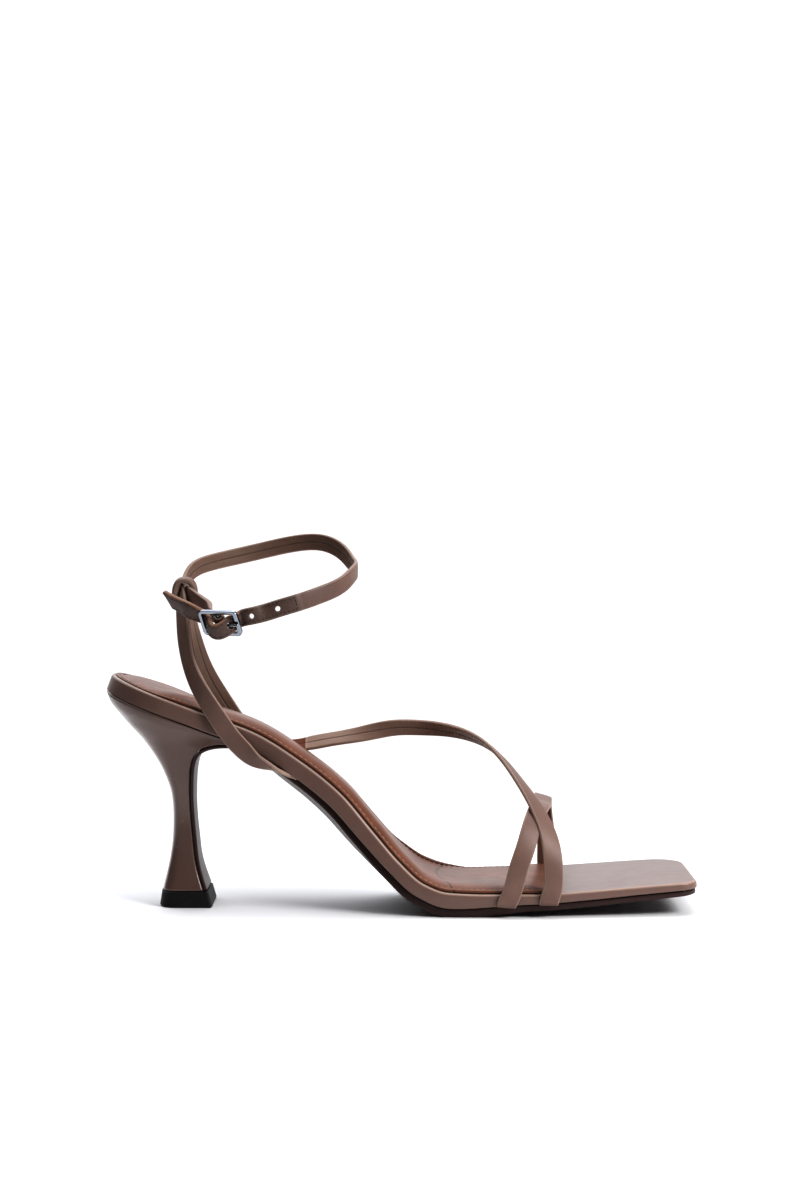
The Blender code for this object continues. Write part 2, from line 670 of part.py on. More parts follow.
def make_ankle_strap():
    """One strap from the lateral waist up through the loop, round the ankle and through the buckle."""
    route = Route()
    route.add_rows(ANKLE_RISE, STRAP_THICK)
    doubled = STRAP_THICK + TIP_STEP
    for row in ANKLE_RING:
        size = named(RING_COLUMNS, row)
        thick = doubled if size["turn"] > TIP_START_TURN else STRAP_THICK
        route.add(ring_point(**size), ring_face(size["turn"]), ANKLE_WIDTH, thick)
    for row in WEAVE:
        route.add(buckle_point(**named(WEAVE_COLUMNS, row)), buckle_axes()[2], ANKLE_WIDTH, doubled)
    route.add_rows(TAIL, doubled)
    point = route.points[-1] + unit(route.points[-1] - route.points[-2]) * TAIL_POINT
    route.add(point + route.faces[-1] * doubled / 2, route.faces[-1], TAIL_TIP_WIDTH, doubled)
    return route.make("ankle_strap", FINE_STEP)


def make_buckle_strap():
    """Strap from the medial waist up through the loop to an eye round the middle bar of the buckle."""
    route = Route()
    route.add_rows(BUCKLE_RISE, STRAP_THICK)
    route.add_rows(BUCKLE_FOLD, FOLD_THICK)
    along_buckle, _, out_of_face = buckle_axes()
    route.add(buckle_point(EYE_START[0], 0.0, EYE_START[1]), out_of_face, EYE_WIDTH, EYE_THICK)
    middle = BUCKLE_BAR / 2 + GAP + EYE_THICK / 2
    for turn in range(-75, 166, 30):
        angle = np.radians(turn)
        face = along_buckle * np.cos(angle) + out_of_face * np.sin(angle)
        route.add(buckle_point(0.0, 0.0, 0.0) + face * middle, -face, EYE_WIDTH, EYE_THICK)
    return route.make("buckle_strap", STRAP_STEP)


def make_loop():
    """Flat leather band closed round both straps at the back."""
    rings = []
    half = np.array(LOOP_INSIDE) / 2 + LOOP_THICK / 2
    for turn in np.radians(np.arange(0, 360, 15)):
        heading = np.array([np.cos(turn), np.sin(turn)])
        face = unit(heading / half)
        middle = np.sign(heading) * abs(heading) ** (2 / LOOP_SQUARENESS) * half
        ring = []
        for across, out in strap_section(LOOP_WIDTH, LOOP_THICK):
            place = middle + face * (out - LOOP_THICK / 2)
            ring.append(np.array(LOOP_CENTRE) + np.array([place[0], across, place[1]]))
        rings.append(np.array(ring))
    return loft("keeper_loop", rings, "taupe_leather", closed=True)


# Buckle


def bar_ring(centre, first, second, radius, sides=8):
    turns = np.arange(sides) * 2 * np.pi / sides
    return np.array([centre + radius * (np.cos(t) * first + np.sin(t) * second) for t in turns])


def make_buckle_frame():
    axes = buckle_axes()
    half_long = (BUCKLE_LENGTH - BUCKLE_BAR) / 2
    half_high = (BUCKLE_HEIGHT - BUCKLE_BAR) / 2
    rings = []
    for quarter, (x, y) in enumerate(((1, 1), (-1, 1), (-1, -1), (1, -1))):
        for turn in np.radians(np.arange(0, 91, 22.5) + 90 * quarter):
            flat = np.cos(turn) * axes[0] + np.sin(turn) * axes[1]
            corner = buckle_point(x * (half_long - BUCKLE_CORNER), y * (half_high - BUCKLE_CORNER), 0.0)
            rings.append(bar_ring(corner + flat * BUCKLE_CORNER, flat, axes[2], BUCKLE_BAR / 2))
    frame = loft("buckle_frame", rings, "chrome", closed=True)
    ends = [buckle_point(0.0, side * half_high, 0.0) for side in (-1, 1)]
    bar = loft("middle_bar", [bar_ring(end, axes[0], axes[2], BUCKLE_BAR * 0.42) for end in ends], "chrome")
    combine(frame, bar, "UNION")
    return frame


def make_buckle_prong():
    """Pin curled round the middle bar, through the strap and on to the front bar."""
    axes = buckle_axes()
    eye = BUCKLE_BAR / 2 + GAP + PRONG_THICK / 2
    path = []
    for turn in range(-200, 61, 26):
        angle = np.radians(turn)
        path.append((eye * np.cos(angle), eye * np.sin(angle)))
    front = (BUCKLE_LENGTH - BUCKLE_BAR) / 2
    over = BUCKLE_BAR / 2 + GAP + PRONG_THICK / 2
    path += [(front * 0.5, over), (front, over), (front + 0.9, over - 0.15)]
    line = np.array(path)
    along = unit(np.gradient(line, axis=0))
    rings = []
    for place, heading in zip(line, along):
        side = heading[0] * axes[2] - heading[1] * axes[0]
        rings.append(bar_ring(buckle_point(place[0], 0.0, place[1]), side, axes[1], PRONG_THICK / 2))
    return loft("buckle_prong", rings, "chrome")


# The whole shoe


def cutter(name, start, end, radius):
    """Round pin for cutting a hole from start to end."""
    heading = unit(end - start)
    first = unit(np.cross(heading, np.array([0.0, 0.3, 1.0])))
    rings = [bar_ring(place, first, np.cross(heading, first), radius) for place in (start, end)]
    return loft(name, rings, "taupe_leather")


def cut_strap_holes(ankle_strap, buckle_strap):
    """Room for the prong in both straps, and the spare holes in the strap's end."""
    over = BUCKLE_BAR / 2 + GAP + PRONG_THICK / 2
    start = buckle_point(PIN_START, 0.0, over)
    end = buckle_point(BUCKLE_LENGTH / 2 - PIN_SHORT, 0.0, over)
    combine(ankle_strap, cutter("prong_hole", start, end, PRONG_HOLE / 2), "DIFFERENCE")
    low, high = [buckle_point(0.0, side * SLOT_HALF, 0.0) for side in (-1, 1)]
    slot = cutter("prong_slot", low, high, SLOT_RADIUS)
    combine(buckle_strap, slot, "DIFFERENCE")
    for number, (turn, height) in enumerate(PUNCHED_AT):
        place = ring_point(turn, height)
        through = ring_face(turn) * STRAP_THICK * 4
        hole = cutter(f"punched_hole_{number}", place - through, place + through, PUNCHED_HOLE / 2)
        combine(ankle_strap, hole, "DIFFERENCE")


def centre_pieces(pieces):
    """Hangs every piece on one empty and moves that, so the shoe's box is centred on the origin."""
    base = bpy.data.objects.new("shoe", None)
    bpy.context.collection.objects.link(base)
    for piece in bpy.data.objects:
        if piece is not base:
            piece.parent = base
    bpy.context.view_layer.update()
    corners = np.concatenate([np.array([v.co for v in piece.data.vertices]) for piece in pieces])
    middle = (corners.min(axis=0) + corners.max(axis=0)) / 2
    base.location = (-middle[0], -middle[1], 0.0)


def main():
    for left in list(bpy.data.objects):
        bpy.data.objects.remove(left)
    pieces = [make_footbed(), make_sock(), make_outsole(), make_heel(), make_top_piece()]
    ankle_strap = make_ankle_strap()
    buckle_strap = make_buckle_strap()
    pieces += [make_forefoot_straps(), ankle_strap, buckle_strap, make_loop()]
    pieces += [make_buckle_frame(), make_buckle_prong()]
    cut_strap_holes(ankle_strap, buckle_strap)
    centre_pieces(pieces)


main()
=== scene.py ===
"""Looks of a right strappy sandal on a flared high heel: its leathers, straps, stitches, buckle and studio.

Tables are in millimetres: +X points to the toe, +Y to the medial side, +Z up, and the floor is z = 0.
Each piece is a grid of points worked out from them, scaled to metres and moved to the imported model's place.
"""

import bmesh
import bpy
import numpy as np
from bpy.props import FloatProperty, FloatVectorProperty, PointerProperty
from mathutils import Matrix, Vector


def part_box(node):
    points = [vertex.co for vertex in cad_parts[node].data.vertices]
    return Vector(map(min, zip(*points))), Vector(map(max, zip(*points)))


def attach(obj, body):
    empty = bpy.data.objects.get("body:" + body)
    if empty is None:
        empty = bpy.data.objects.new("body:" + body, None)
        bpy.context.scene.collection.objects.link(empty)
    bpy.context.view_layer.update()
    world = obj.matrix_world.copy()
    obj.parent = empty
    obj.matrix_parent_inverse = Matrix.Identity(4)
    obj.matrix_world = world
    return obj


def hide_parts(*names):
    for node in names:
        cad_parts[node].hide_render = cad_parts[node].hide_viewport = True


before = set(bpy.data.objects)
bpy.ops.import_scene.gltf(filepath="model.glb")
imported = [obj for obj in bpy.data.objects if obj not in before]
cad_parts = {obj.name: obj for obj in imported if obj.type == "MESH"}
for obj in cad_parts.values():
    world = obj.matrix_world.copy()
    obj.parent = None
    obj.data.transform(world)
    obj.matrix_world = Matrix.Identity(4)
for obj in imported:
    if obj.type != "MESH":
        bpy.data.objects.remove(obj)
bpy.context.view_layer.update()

bl_info = {
    "name": "Strappy Sandal",
    "version": (1, 0, 0),
    "blender": (4, 5, 0),
    "location": "3D View > Sidebar > Sandal",
    "description": "Builds the looks of a strappy sandal around its packed solids",
    "category": "Add Mesh",
}

MM = 0.001

# Driving sizes of the solids, in mm
GAP = 0.3
SIDES = ("lateral", "medial")
TOE_END = 112.0
TOE_CORNERS = {"lateral": (6.5, 6.5), "medial": (13.0, 15.0)}
HEEL_CENTRE = -87.5
HEEL_RADIUS = 23.5
HEEL_BACK = HEEL_CENTRE - HEEL_RADIUS
FOOTBED_LOWER_ROUND = 1.5
SOLE_SHORT = 0.6
SOLE_ROUNDS = (0.4, 0.7)
SOLE_BACK = -49.0
SOLE_FILL = 9
WAIST_END = -20.0  # the outsole and its flap are one smooth run up to here
FLAP_THICK = 1.2
FLAP_ROUNDS = (0.4, 0.5)
FLAP_BOW = 0.2
TOP_PIECE_HEIGHT = 6.0
STRAP_THICK = 1.6
STRAP_CLEAR = 0.55
LAST_SQUARENESS = 2.4
ANKLE_CENTRE = (-50.0, 0.0)
ANKLE_RADII = (33.0, 31.0)
BUCKLE_LENGTH = 16.4
BUCKLE_HEIGHT = 11.0
BUCKLE_BAR = 1.5
BUCKLE_CORNER = 1.3
BUCKLE_CENTRE = (-67.2, -30.0, 110.0)
BUCKLE_YAW = -25.0  # with the lean, a few degrees more than the solid's, as in the photo
BUCKLE_LEAN = 31.0
PRONG_THICK = 1.1

# Finer forms of the looks, in mm; pairs are the stretch over which something comes or goes
FOOTBED_EDGES = (1.2, 0.6)  # the wrapped leather is sharper below than the solid
FOOTBED_TOP_INSETS = (8.0, 6.6, 5.3, 4.1, 3.0, 2.0)
FOOTBED_TOP_CLOSES = (50.0, 85.0)  # the rings of the top draw up to the edge here
FOOTBED_TOP_LEFT = 0.02  # share of the insets that is left then
# painted highlight along the footbed's rounded top edge, step by step down the top round
RIM_HIGHLIGHT = (0.5, 1.0, 1.0, 0.6, 0.2)
BANK = 2.0  # height of the cupped medial rim
BANK_COMES = (-7.0, 9.0)
BANK_GOES = (14.0, 28.0)
BANK_WIDE = (0.5, 6.5)
LAYER_FILL = 11
SPINE_ROOM = 0.03  # share of the width that a layer's middle line stays off its two ends
HEEL_LIP = (0.7, 0.25)  # the heel's cover spreads and rises by this much to meet the footbed
HEEL_LIP_LONG = 5.0
SOCK_INSET = 1.4
SOCK_EDGE = 1.0
SOCK_ROUND = 0.45
SOCK_FRONT = 60.6
SOCK_CORNER = (1.6, 1.6)
SOCK_FILL = 15
SOCK_RIM = 2.3  # width of the flat stitched rim
SOCK_TOP_INSETS = (10.0, 8.4, 7.0, 5.8, 4.8, 4.0, 3.4, 2.95, 2.65, 2.45, 2.25, 2.05, 1.8, 1.55, 1.2, 0.8)
SOCK_TOP_CLOSES = (38.0, 56.0)
SOCK_TOP_LEFT = 0.03
SOCK_LOWER_EDGE = 0.15
SOCK_THINNER = 0.8  # how much lower the far side lies
SOCK_THINNER_FRONT = (40.0, 56.0)
SOCK_HEEL = (11.0, 34.0)  # from the back of the heel: the foam grows and the far side gets thinner
SOCK_BALL = (-14.0, 14.0)  # the foam gets lower towards the ball
SOCK_HOLLOW = 0.35
SOCK_HOLLOW_COMES = (-22.0, 4.0)
SOCK_HOLLOW_GOES = (38.0, 54.0)
SOCK_FOAM_HEEL = 0.7  # share of the foam at the back of the heel
SOCK_FOAM_BALL = 0.7  # and at the ball
SOCK_FOAM_FAR = 0.6  # share of the foam that the far side lacks
SOCK_SHOULDER = 6.5
SOCK_SHOULDER_ROUND = 2.4
SOCK_SEAM = 14.2
SOCK_SEAM_BOW = 0.0048
SEAT_LOWER = 0.9
SEAT_STRETCH = (HEEL_BACK + 11.0, HEEL_CENTRE + 8.0)
STITCH_INSET = 1.8
STITCH_SUNK = 0.1
CHANNEL_DEPTH = 0.3
CHANNEL_WIDE = 0.3
# width of the painted shade in the stitch channel
CHANNEL_SHADE_WIDE = 0.4
STRAP_STEP = 0.9
STRAP_FOLD = 0.55  # round of a strap's folded edges
STRAP_DOME = 0.08
SEAM_DEPTH = 0.18
SEAM_SHARE = 0.1
FOOT_TURNS = (0, 17, 36)  # degrees that a strap's end goes round under the footbed
STRAP_STITCHES = (0.64, 0.65, 0.7)  # pitch, length and thread of the strap ends against the sock's
EDGE_STITCH_IN = 1.15
PRONG_HOLE = 2.6
PUNCHED_HOLE = 2.0
PUNCHED_AT = ((262.5, 115.3), (279.0, 112.6))
SLOT_HALF = 0.9
SLOT_RADIUS = 2.8

# Footbed, heel to toe: top edge, thickness, reach to each side, crown, and the outsole below it
FOOTBED_COLUMNS = ("forward", "edge", "thick", "lateral", "medial", "crown", "sole", "belly", "inset")
FOOTBED_SECTIONS = (
    (-110.5, 89.00, 6.6, 24.5, 22.0, 0.0, 2.0, 0.0, 5.0),
    (-90.0, 81.31, 6.6, 24.6, 22.0, 0.0, 2.0, 0.0, 5.0),
    (-72.0, 74.56, 6.4, 24.4, 21.2, 0.0, 2.0, 0.2, 5.0),
    (-55.0, 68.20, 6.4, 24.4, 19.5, 0.0, 2.0, 0.8, 5.0),
    (-38.0, 57.80, 6.4, 25.4, 18.2, 0.0, 2.3, 2.7, 5.0),
    (-22.0, 45.20, 6.3, 28.2, 17.6, 0.0, 2.5, 3.1, 4.6),
    (-10.0, 31.40, 5.9, 31.0, 18.6, 0.0, 2.6, 2.7, 3.8),
    (0.0, 20.10, 5.5, 33.5, 21.5, 0.0, 2.7, 1.7, 2.8),
    (9.0, 12.40, 5.6, 35.6, 25.5, 0.0, 2.9, 0.6, 2.2),
    (18.0, 9.30, 6.0, 36.8, 28.5, 0.0, 3.3, 0.0, 2.1),
    (30.0, 8.80, 5.2, 37.3, 31.4, 0.0, 3.4, 0.0, 2.0),
    (50.0, 8.75, 3.9, 36.9, 34.0, 0.0, 2.6, 0.0, 2.0),
    (70.0, 9.85, 3.6, 35.4, 34.4, 0.5, 2.5, 0.0, 1.6),
    (90.0, 11.35, 3.3, 33.7, 33.4, 0.8, 2.3, 0.0, 1.0),
    (112.0, 12.90, 3.0, 31.8, 31.6, 0.5, 1.9, 0.0, 0.9),
)

# Heel, seat to top piece: back and breast in the side view, half width, roundness, half width of
# the breast and of the outsole flap on it
HEEL_WIDEST = 0.46
HEEL_CORNER = 0.9
HEEL_MIDDLE = -1.25
HEEL_COLUMNS = ("back_x", "back_z", "front_x", "front_z", "half", "power", "breast", "flap")
HEEL_SECTIONS = (
    (-112.4, 82.3, -60.0, 62.65, 23.0, 2.0, 19.8, 17.2),
    (-110.6, 77.5, -63.5, 63.00, 22.2, 2.0, 19.6, 17.2),
    (-108.4, 74.6, -66.5, 63.10, 21.0, 2.0, 19.0, 17.0),
    (-104.5, 70.0, -70.3, 62.80, 18.8, 2.1, 17.6, 16.4),
    (-100.7, 65.9, -74.3, 61.70, 16.4, 2.1, 15.7, 15.0),
    (-96.8, 60.9, -77.7, 59.40, 14.0, 2.1, 13.6, 13.1),
    (-93.0, 55.1, -79.6, 55.80, 12.0, 2.2, 11.8, 11.5),
    (-90.3, 49.4, -80.5, 50.20, 10.5, 2.2, 10.3, 10.1),
    (-88.7, 45.0, -80.7, 45.20, 9.6, 2.2, 9.4, 9.3),
    (-87.7, 38.0, -80.6, 38.00, 8.7, 2.2, 8.5, 8.4),
    (-87.6, 31.0, -80.1, 31.00, 8.5, 2.3, 8.3, 8.2),
    (-88.0, 24.0, -79.4, 24.00, 8.8, 2.4, 8.6, 8.5),
    (-88.9, 18.0, -78.7, 18.00, 9.3, 2.5, 9.1, 9.0),
    (-90.1, 12.2, -77.3, 12.20, 10.3, 2.7, 10.1, 10.0),
    (-91.5, 6.3, -75.4, 6.30, 11.7, 3.0, 11.5, 11.3),
)
TOP_PIECE_POWER = 3.2
TOP_PIECE_BACK = -92.6
TOP_PIECE_COLUMNS = ("back", "front", "height", "half")
TOP_PIECE_SECTIONS = (
    (-91.4, -73.8, TOP_PIECE_HEIGHT, 11.6),
    (-91.8, -73.4, TOP_PIECE_HEIGHT - 0.35, 12.0),
    (-92.2, -72.7, 3.0, 12.45),
    (TOP_PIECE_BACK, -72.0, 0.5, 12.9),
    (-92.2, -72.4, 0.0, 12.5),
)

# Height of the last over the footbed
LAST_COLUMNS = ("forward", "height")
LAST_SECTIONS = (
    (-45.0, 101.0), (-38.0, 98.0), (-16.0, 88.0), (-2.0, 80.0), (8.0, 73.0), (17.0, 65.0),
    (26.0, 57.9), (36.0, 49.3), (45.0, 40.0), (54.0, 31.8), (62.0, 25.0), (75.0, 16.0),
)

# Straps over the last: forward, angle round it from the lateral edge, and lift off it
TOE_STRAP = (
    (41.4, 0.0, 0.0), (44.1, 10.0, 0.0), (46.5, 21.0, 0.0), (49.0, 37.0, 0.0), (51.6, 55.0, 0.0),
    (53.8, 73.0, -0.9), (55.2, 92.0, -1.6), (56.0, 108.0, 0.8), (56.5, 124.0, 2.8), (57.5, 144.0, 1.5),
    (58.8, 166.0, 0.2), (59.0, 180.0, 0.0),
)
INSTEP_STRAP = (
    (56.4, 0.0, 0.0), (57.2, 14.0, 0.0), (55.8, 35.0, 0.7), (51.4, 55.0, 1.45), (44.4, 75.0, 0.9),
    (35.6, 94.0, 0.0), (26.7, 111.5, 0.0), (17.4, 123.5, 0.0), (7.9, 137.5, 0.0),
    (-1.6, 150.5, 0.0), (-15.8, 166.5, 0.0), (-27.0, 174.4, 0.0), (-36.0, 178.4, 0.4),
    (-41.5, 180.0, 0.7),
)
FOREFOOT_WIDTH = 7.3
TOE_STRAP_FEET = (-1.7, 0.3)
TOE_STRAP_LEVEL = 1.7  # how far the toe strap lies level where it crosses over, instead of down the last
INSTEP_STRAP_FEET = (-1.0, -4.0)
INSTEP_STRAP_LEAN = 1.0  # how far the instep strap's far end leans out
INSTEP_STRAP_TAPER = 0.8  # how much narrower the instep strap is where it comes down again
TAB_FORWARD = -37.4  # the instep strap's lining stops here, and a suede tab goes on

# Straps at the back: middle of the wall forward, across and up, where its face looks, its roll, its width
ANKLE_RISE = (
    (-38.6, -21.9, 50.6, -90, 106, 0.9),
    (-41.6, -23.3, 52.1, -90, 108, 3.6),
    (-45.6, -25.0, 53.9, -90, 92, 5.4),
    (-50.0, -26.2, 55.9, -90, 62, 6.3),
    (-54.6, -26.3, 58.1, -90, 36, 6.8),
    (-59.0, -26.1, 61.8, -90, 12, 7.2),
    (-63.4, -25.9, 66.5, -90, 2, 7.2),
    (-67.7, -26.2, 72.6, -86, 0, 7.2),
    (-72.2, -25.6, 79.4, -72, 0, 7.2),
    (-79.0, -20.6, 91.5, -46, 0, 7.4),
    (-82.2, -15.2, 104.0, -44, 0, 7.2),
    (-83.3, -11.2, 113.9, -42, 0, 6.8),
    (-83.9, -7.8, 118.3, -38, 0, 6.6),
    (-84.1, -2.9, 121.2, -24, 0, 6.5),
    (-83.5, 2.8, 124.0, -2, 0, 6.5),
)

# Ring round the ankle: turn from straight back, and height
ANKLE_RING = (
    (15.5, 127.3), (30.0, 129.9), (46.0, 131.7), (62.0, 133.4), (80.0, 135.6), (97.0, 137.8),
    (112.0, 139.1), (124.0, 139.1), (136.0, 137.6), (148.0, 134.8), (160.0, 131.4), (177.0, 129.2),
    (195.0, 127.4), (208.0, 124.6), (220.0, 122.3), (233.0, 120.2), (248.0, 117.7), (261.0, 115.6),
    (273.0, 113.5),
)
ANKLE_WIDTH = 6.6

# Way through the buckle: along it, across it and out of it; then the tail in rows like the straps'
WEAVE = (
    (10.8, 0.6, -3.9), (7.25, -0.2, -3.6), (4.7, -0.2, -0.9), (2.3, -0.8, 3.4),
    (0.0, -1.1, 4.6), (-2.3, -0.8, 3.4), (-4.7, -0.2, -0.6), (-7.25, 0.0, -2.9),
)
TAIL = (
    (-78.2, -25.9, 113.9, -50, 14, 6.6),
    (-82.4, -21.9, 115.8, -45, 26, 6.6),
    (-86.3, -18.1, 117.5, -42, 30, 6.6),
)
TAIL_POINT = 3.6
TAIL_TIP_WIDTH = 0.9
TIP_BACK = 7.6  # how far before its first table row the stitched tip starts
TIP_STEP_LONG = 0.9
TIP_START_TURN = 249.0
TIP_STEP = 0.35
BUCKLE_RISE = (
    (-52.8, 16.6, 56.6, 90, 84, 3.4),
    (-55.2, 19.2, 58.6, 90, 70, 5.4),
    (-57.6, 21.2, 60.4, 90, 40, 7.0),
    (-60.4, 22.2, 63.4, 90, 12, 7.2),
    (-64.0, 22.5, 67.6, 90, 0, 7.2),
    (-67.4, 22.8, 72.4, 86, 0, 7.2),
    (-71.6, 22.4, 79.0, 70, 0, 7.2),
    (-76.2, 18.8, 88.0, 48, 0, 7.2),
    (-79.9, 13.0, 100.8, 30, 0, 7.0),
    (-81.4, 5.4, 111.6, 12, 0, 6.8),
    (-81.8, -1.6, 117.8, 0, 0, 6.4),
    (-81.6, -6.6, 119.9, -14, 0, 6.4),
    (-79.2, -11.2, 118.5, -36, 0, 6.4),
)
BUCKLE_FOLD = ((-75.3, -16.0, 116.2, -50, 4, 6.4), (-72.1, -20.2, 113.9, -60, 10, 6.4))
FOLD_THICK = 2.4
EYE_START = (-4.4, -4.2)
EYE_THICK = 1.1
EYE_WIDTH = 6.2
LOOP_CENTRE = (-82.6, -5.2, 119.3)
LOOP_INSIDE = (4.1, 9.9)
LOOP_INSIDE_SQUARENESS = 3.4
LOOP_OUTSIDE = (10.0, 14.2)
LOOP_OUTSIDE_SQUARENESS = 2.5
LOOP_WIDTH = 4.8
LOOP_TILT = 10.0

# Soft boxes: name, place and target in metres, size and power
SOFT_BOXES = (
    ("overhead", (-0.1, 0.12, 0.9), (0.0, 0.0, 0.0), (0.9, 0.7), 2.0),
    ("toe_side", (0.44, -0.34, 0.40), (0.08, -0.03, 0.01), (0.26, 0.26), 3.4),
)

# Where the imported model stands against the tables
SEAT_LOW, SEAT_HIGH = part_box("top_piece")
SHIFT = np.array([
    SEAT_LOW.x / MM - TOP_PIECE_BACK,
    (SEAT_LOW.y + SEAT_HIGH.y) / 2 / MM - HEEL_MIDDLE,
    0.0,
])


# Tables and curves


class Table:
    """Rows of sizes by column name, read between rows along the first column without overshoot."""

    def __init__(self, columns, rows):
        values = np.array(rows, float)
        self.columns = dict(zip(columns, values.T))
        self.places = values[:, 0]

    def at(self, name, place):
        """One column's values at any places."""
        return monotone(self.places, self.columns[name], np.asarray(place, float))


def monotone(xs, ys, at):
    """Cubic through the points; each slope is the harmonic mean of its neighbours', or flat at a turn."""
    steps = np.diff(xs)
    slopes = np.diff(ys) / steps
    before = 2 * steps[1:] + steps[:-1]
    after = steps[1:] + 2 * steps[:-1]
    same = slopes[:-1] * slopes[1:] > 0
    safe = np.where(same, slopes[:-1], 1.0), np.where(same, slopes[1:], 1.0)
    inner = np.where(same, (before + after) / (before / safe[0] + after / safe[1]), 0.0)
    tangents = np.concatenate([slopes[:1], inner, slopes[-1:]])
    i = np.clip(np.searchsorted(xs, at) - 1, 0, len(xs) - 2)
    t = (at - xs[i]) / steps[i]
    blend = t * t * (3 - 2 * t)
    lead = steps[i] * t * (1 - t)
    return (1 - blend) * ys[i] + blend * ys[i + 1] + lead * ((1 - t) * tangents[i] - t * tangents[i + 1])


def fair(points, places, at):
    """Natural cubic spline of each column of points over places: bends solved so that slopes match."""
    points = np.asarray(points, float)
    count = len(places)
    steps = np.diff(places)
    system = np.eye(count)
    right = np.zeros(points.shape)
    row = np.arange(1, count - 1)
    system[row, row - 1] = steps[:-1]
    system[row, row] = 2 * (steps[:-1] + steps[1:])
    system[row, row + 1] = steps[1:]
    slopes = np.diff(points, axis=0) / steps[:, None]
    right[1:-1] = 6 * np.diff(slopes, axis=0)
    bends = np.linalg.solve(system, right)
    i = np.clip(np.searchsorted(places, at) - 1, 0, count - 2)
    h = steps[i][:, None]
    a = ((places[i + 1] - at) / steps[i])[:, None]
    b = 1 - a
    curve = a * points[i] + b * points[i + 1]
    return curve + h * h / 6 * ((a**3 - a) * bends[i] + (b**3 - b) * bends[i + 1])


def unit(vectors):
    """Vectors over their own lengths."""
    return vectors / np.linalg.norm(vectors, axis=-1, keepdims=True)


def smooth_step(value, low, high):
    """0 below low, 1 above high and an S curve between."""
    t = np.clip((value - low) / (high - low), 0.0, 1.0)
    return t * t * (3 - 2 * t)


def run_length(points):
    """Length along a line of points, from 0 at the first."""
    return np.concatenate([[0.0], np.cumsum(np.linalg.norm(np.diff(points, axis=0), axis=1))])


def circle(count):
    """Even angles once round, without the last, which is the first again."""
    return np.linspace(0, 2 * np.pi, count, endpoint=False)


def quarter(count):
    """Even angles from 0 to a right angle."""
    return np.radians(np.linspace(0, 90, count))


def squared(wave, power):
    """A sine or cosine with flatter crests: its size to a power, with its sign kept."""
    return np.sign(wave) * np.abs(wave) ** power


def superellipse(turn, size, squareness):
    """Closed curve of a given width and height, between an oval and a rectangle."""
    return squared(np.stack([np.cos(turn), np.sin(turn)], 1), 2 / squareness) * np.array(size) / 2


def refined(rings, step):
    """Puts a natural spline through each point of the rings and reads it at closer places along them."""
    count, columns = rings.shape[:2]
    gaps = np.linalg.norm(np.diff(rings, axis=0), axis=2).mean(axis=1)
    places = np.concatenate([[0.0], np.cumsum(gaps)])
    at = np.linspace(0.0, places[-1], int(places[-1] / step))
    return fair(rings.reshape(count, -1), places, at).reshape(len(at), columns, 3)


FOOTBED = Table(FOOTBED_COLUMNS, FOOTBED_SECTIONS)
LAST = Table(LAST_COLUMNS, LAST_SECTIONS)
FINE_FORWARD = np.linspace(-114.0, 116.0, 4601)
FINE_LENGTH = run_length(np.stack([FINE_FORWARD, FOOTBED.at("edge", FINE_FORWARD)], 1))


# Meshes


def closed_mesh(name, grid, ends="capped", marks=None):
    """Mesh over grids of points, (pieces,) rows along by columns round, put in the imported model's place.

    Quads join neighbours, and the last column joins the first. The end rows are closed by fans, both or
    only the first, or joined to each other, or they meet in one point or line. Marks are numbers for
    each grid point.
    """
    grid = grid.reshape(-1, *grid.shape[-3:])
    pieces, rows, columns = grid.shape[:3]
    index = np.arange(pieces * rows * columns).reshape(pieces, rows, columns)
    points = grid.reshape(-1, 3)
    loop = np.concatenate([index, index[:, :, :1]], axis=2)
    if ends == "joined":
        loop = np.concatenate([loop, loop[:, :1]], axis=1)
    quads = np.stack([loop[:, :-1, :-1], loop[:, :-1, 1:], loop[:, 1:, 1:], loop[:, 1:, :-1]], axis=-1)
    faces = quads.reshape(-1, 4).tolist()
    for row in {"capped": (0, -1), "first": (0,)}.get(ends, ()):
        hub = np.repeat(len(points) + np.arange(pieces)[:, None], columns, axis=1)
        points = np.concatenate([points, grid[:, row].mean(axis=1)])
        faces += np.stack([hub, loop[:, row, :-1], loop[:, row, 1:]], axis=-1).reshape(-1, 3).tolist()
    mesh = bpy.data.meshes.new(name)
    mesh.from_pydata((points + SHIFT) * MM, [], faces)
    for mark, values in (marks or {}).items():
        held = np.zeros(len(points), np.float32)
        held[:index.size] = np.broadcast_to(values, index.shape).ravel()
        mesh.attributes.new(mark, "FLOAT", "POINT").data.foreach_set("value", held)
    build = bmesh.new()
    build.from_mesh(mesh)
    bmesh.ops.remove_doubles(build, verts=build.verts, dist=2e-6)
    bmesh.ops.recalc_face_normals(build, faces=build.faces)
    if build.calc_volume(signed=True) < 0:
        bmesh.ops.reverse_faces(build, faces=build.faces)
    build.to_mesh(mesh)
    build.free()
    mesh.shade_smooth()
    return mesh


def placed(name, mesh):
    """An object for a mesh, in the scene."""
    made = bpy.data.objects.new(name, mesh)
    bpy.context.scene.collection.objects.link(made)
    return made


def skin(name, grid, finish, nodes=(), ends="capped", marks=None):
    """Puts a mesh over grids of points and hands it to the shoe."""
    mesh = closed_mesh(name, grid, ends, marks)
    mesh.materials.append(finish)
    piece = placed(name, mesh)
    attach(piece, "root")
    if nodes:
        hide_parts(*nodes)
    return piece


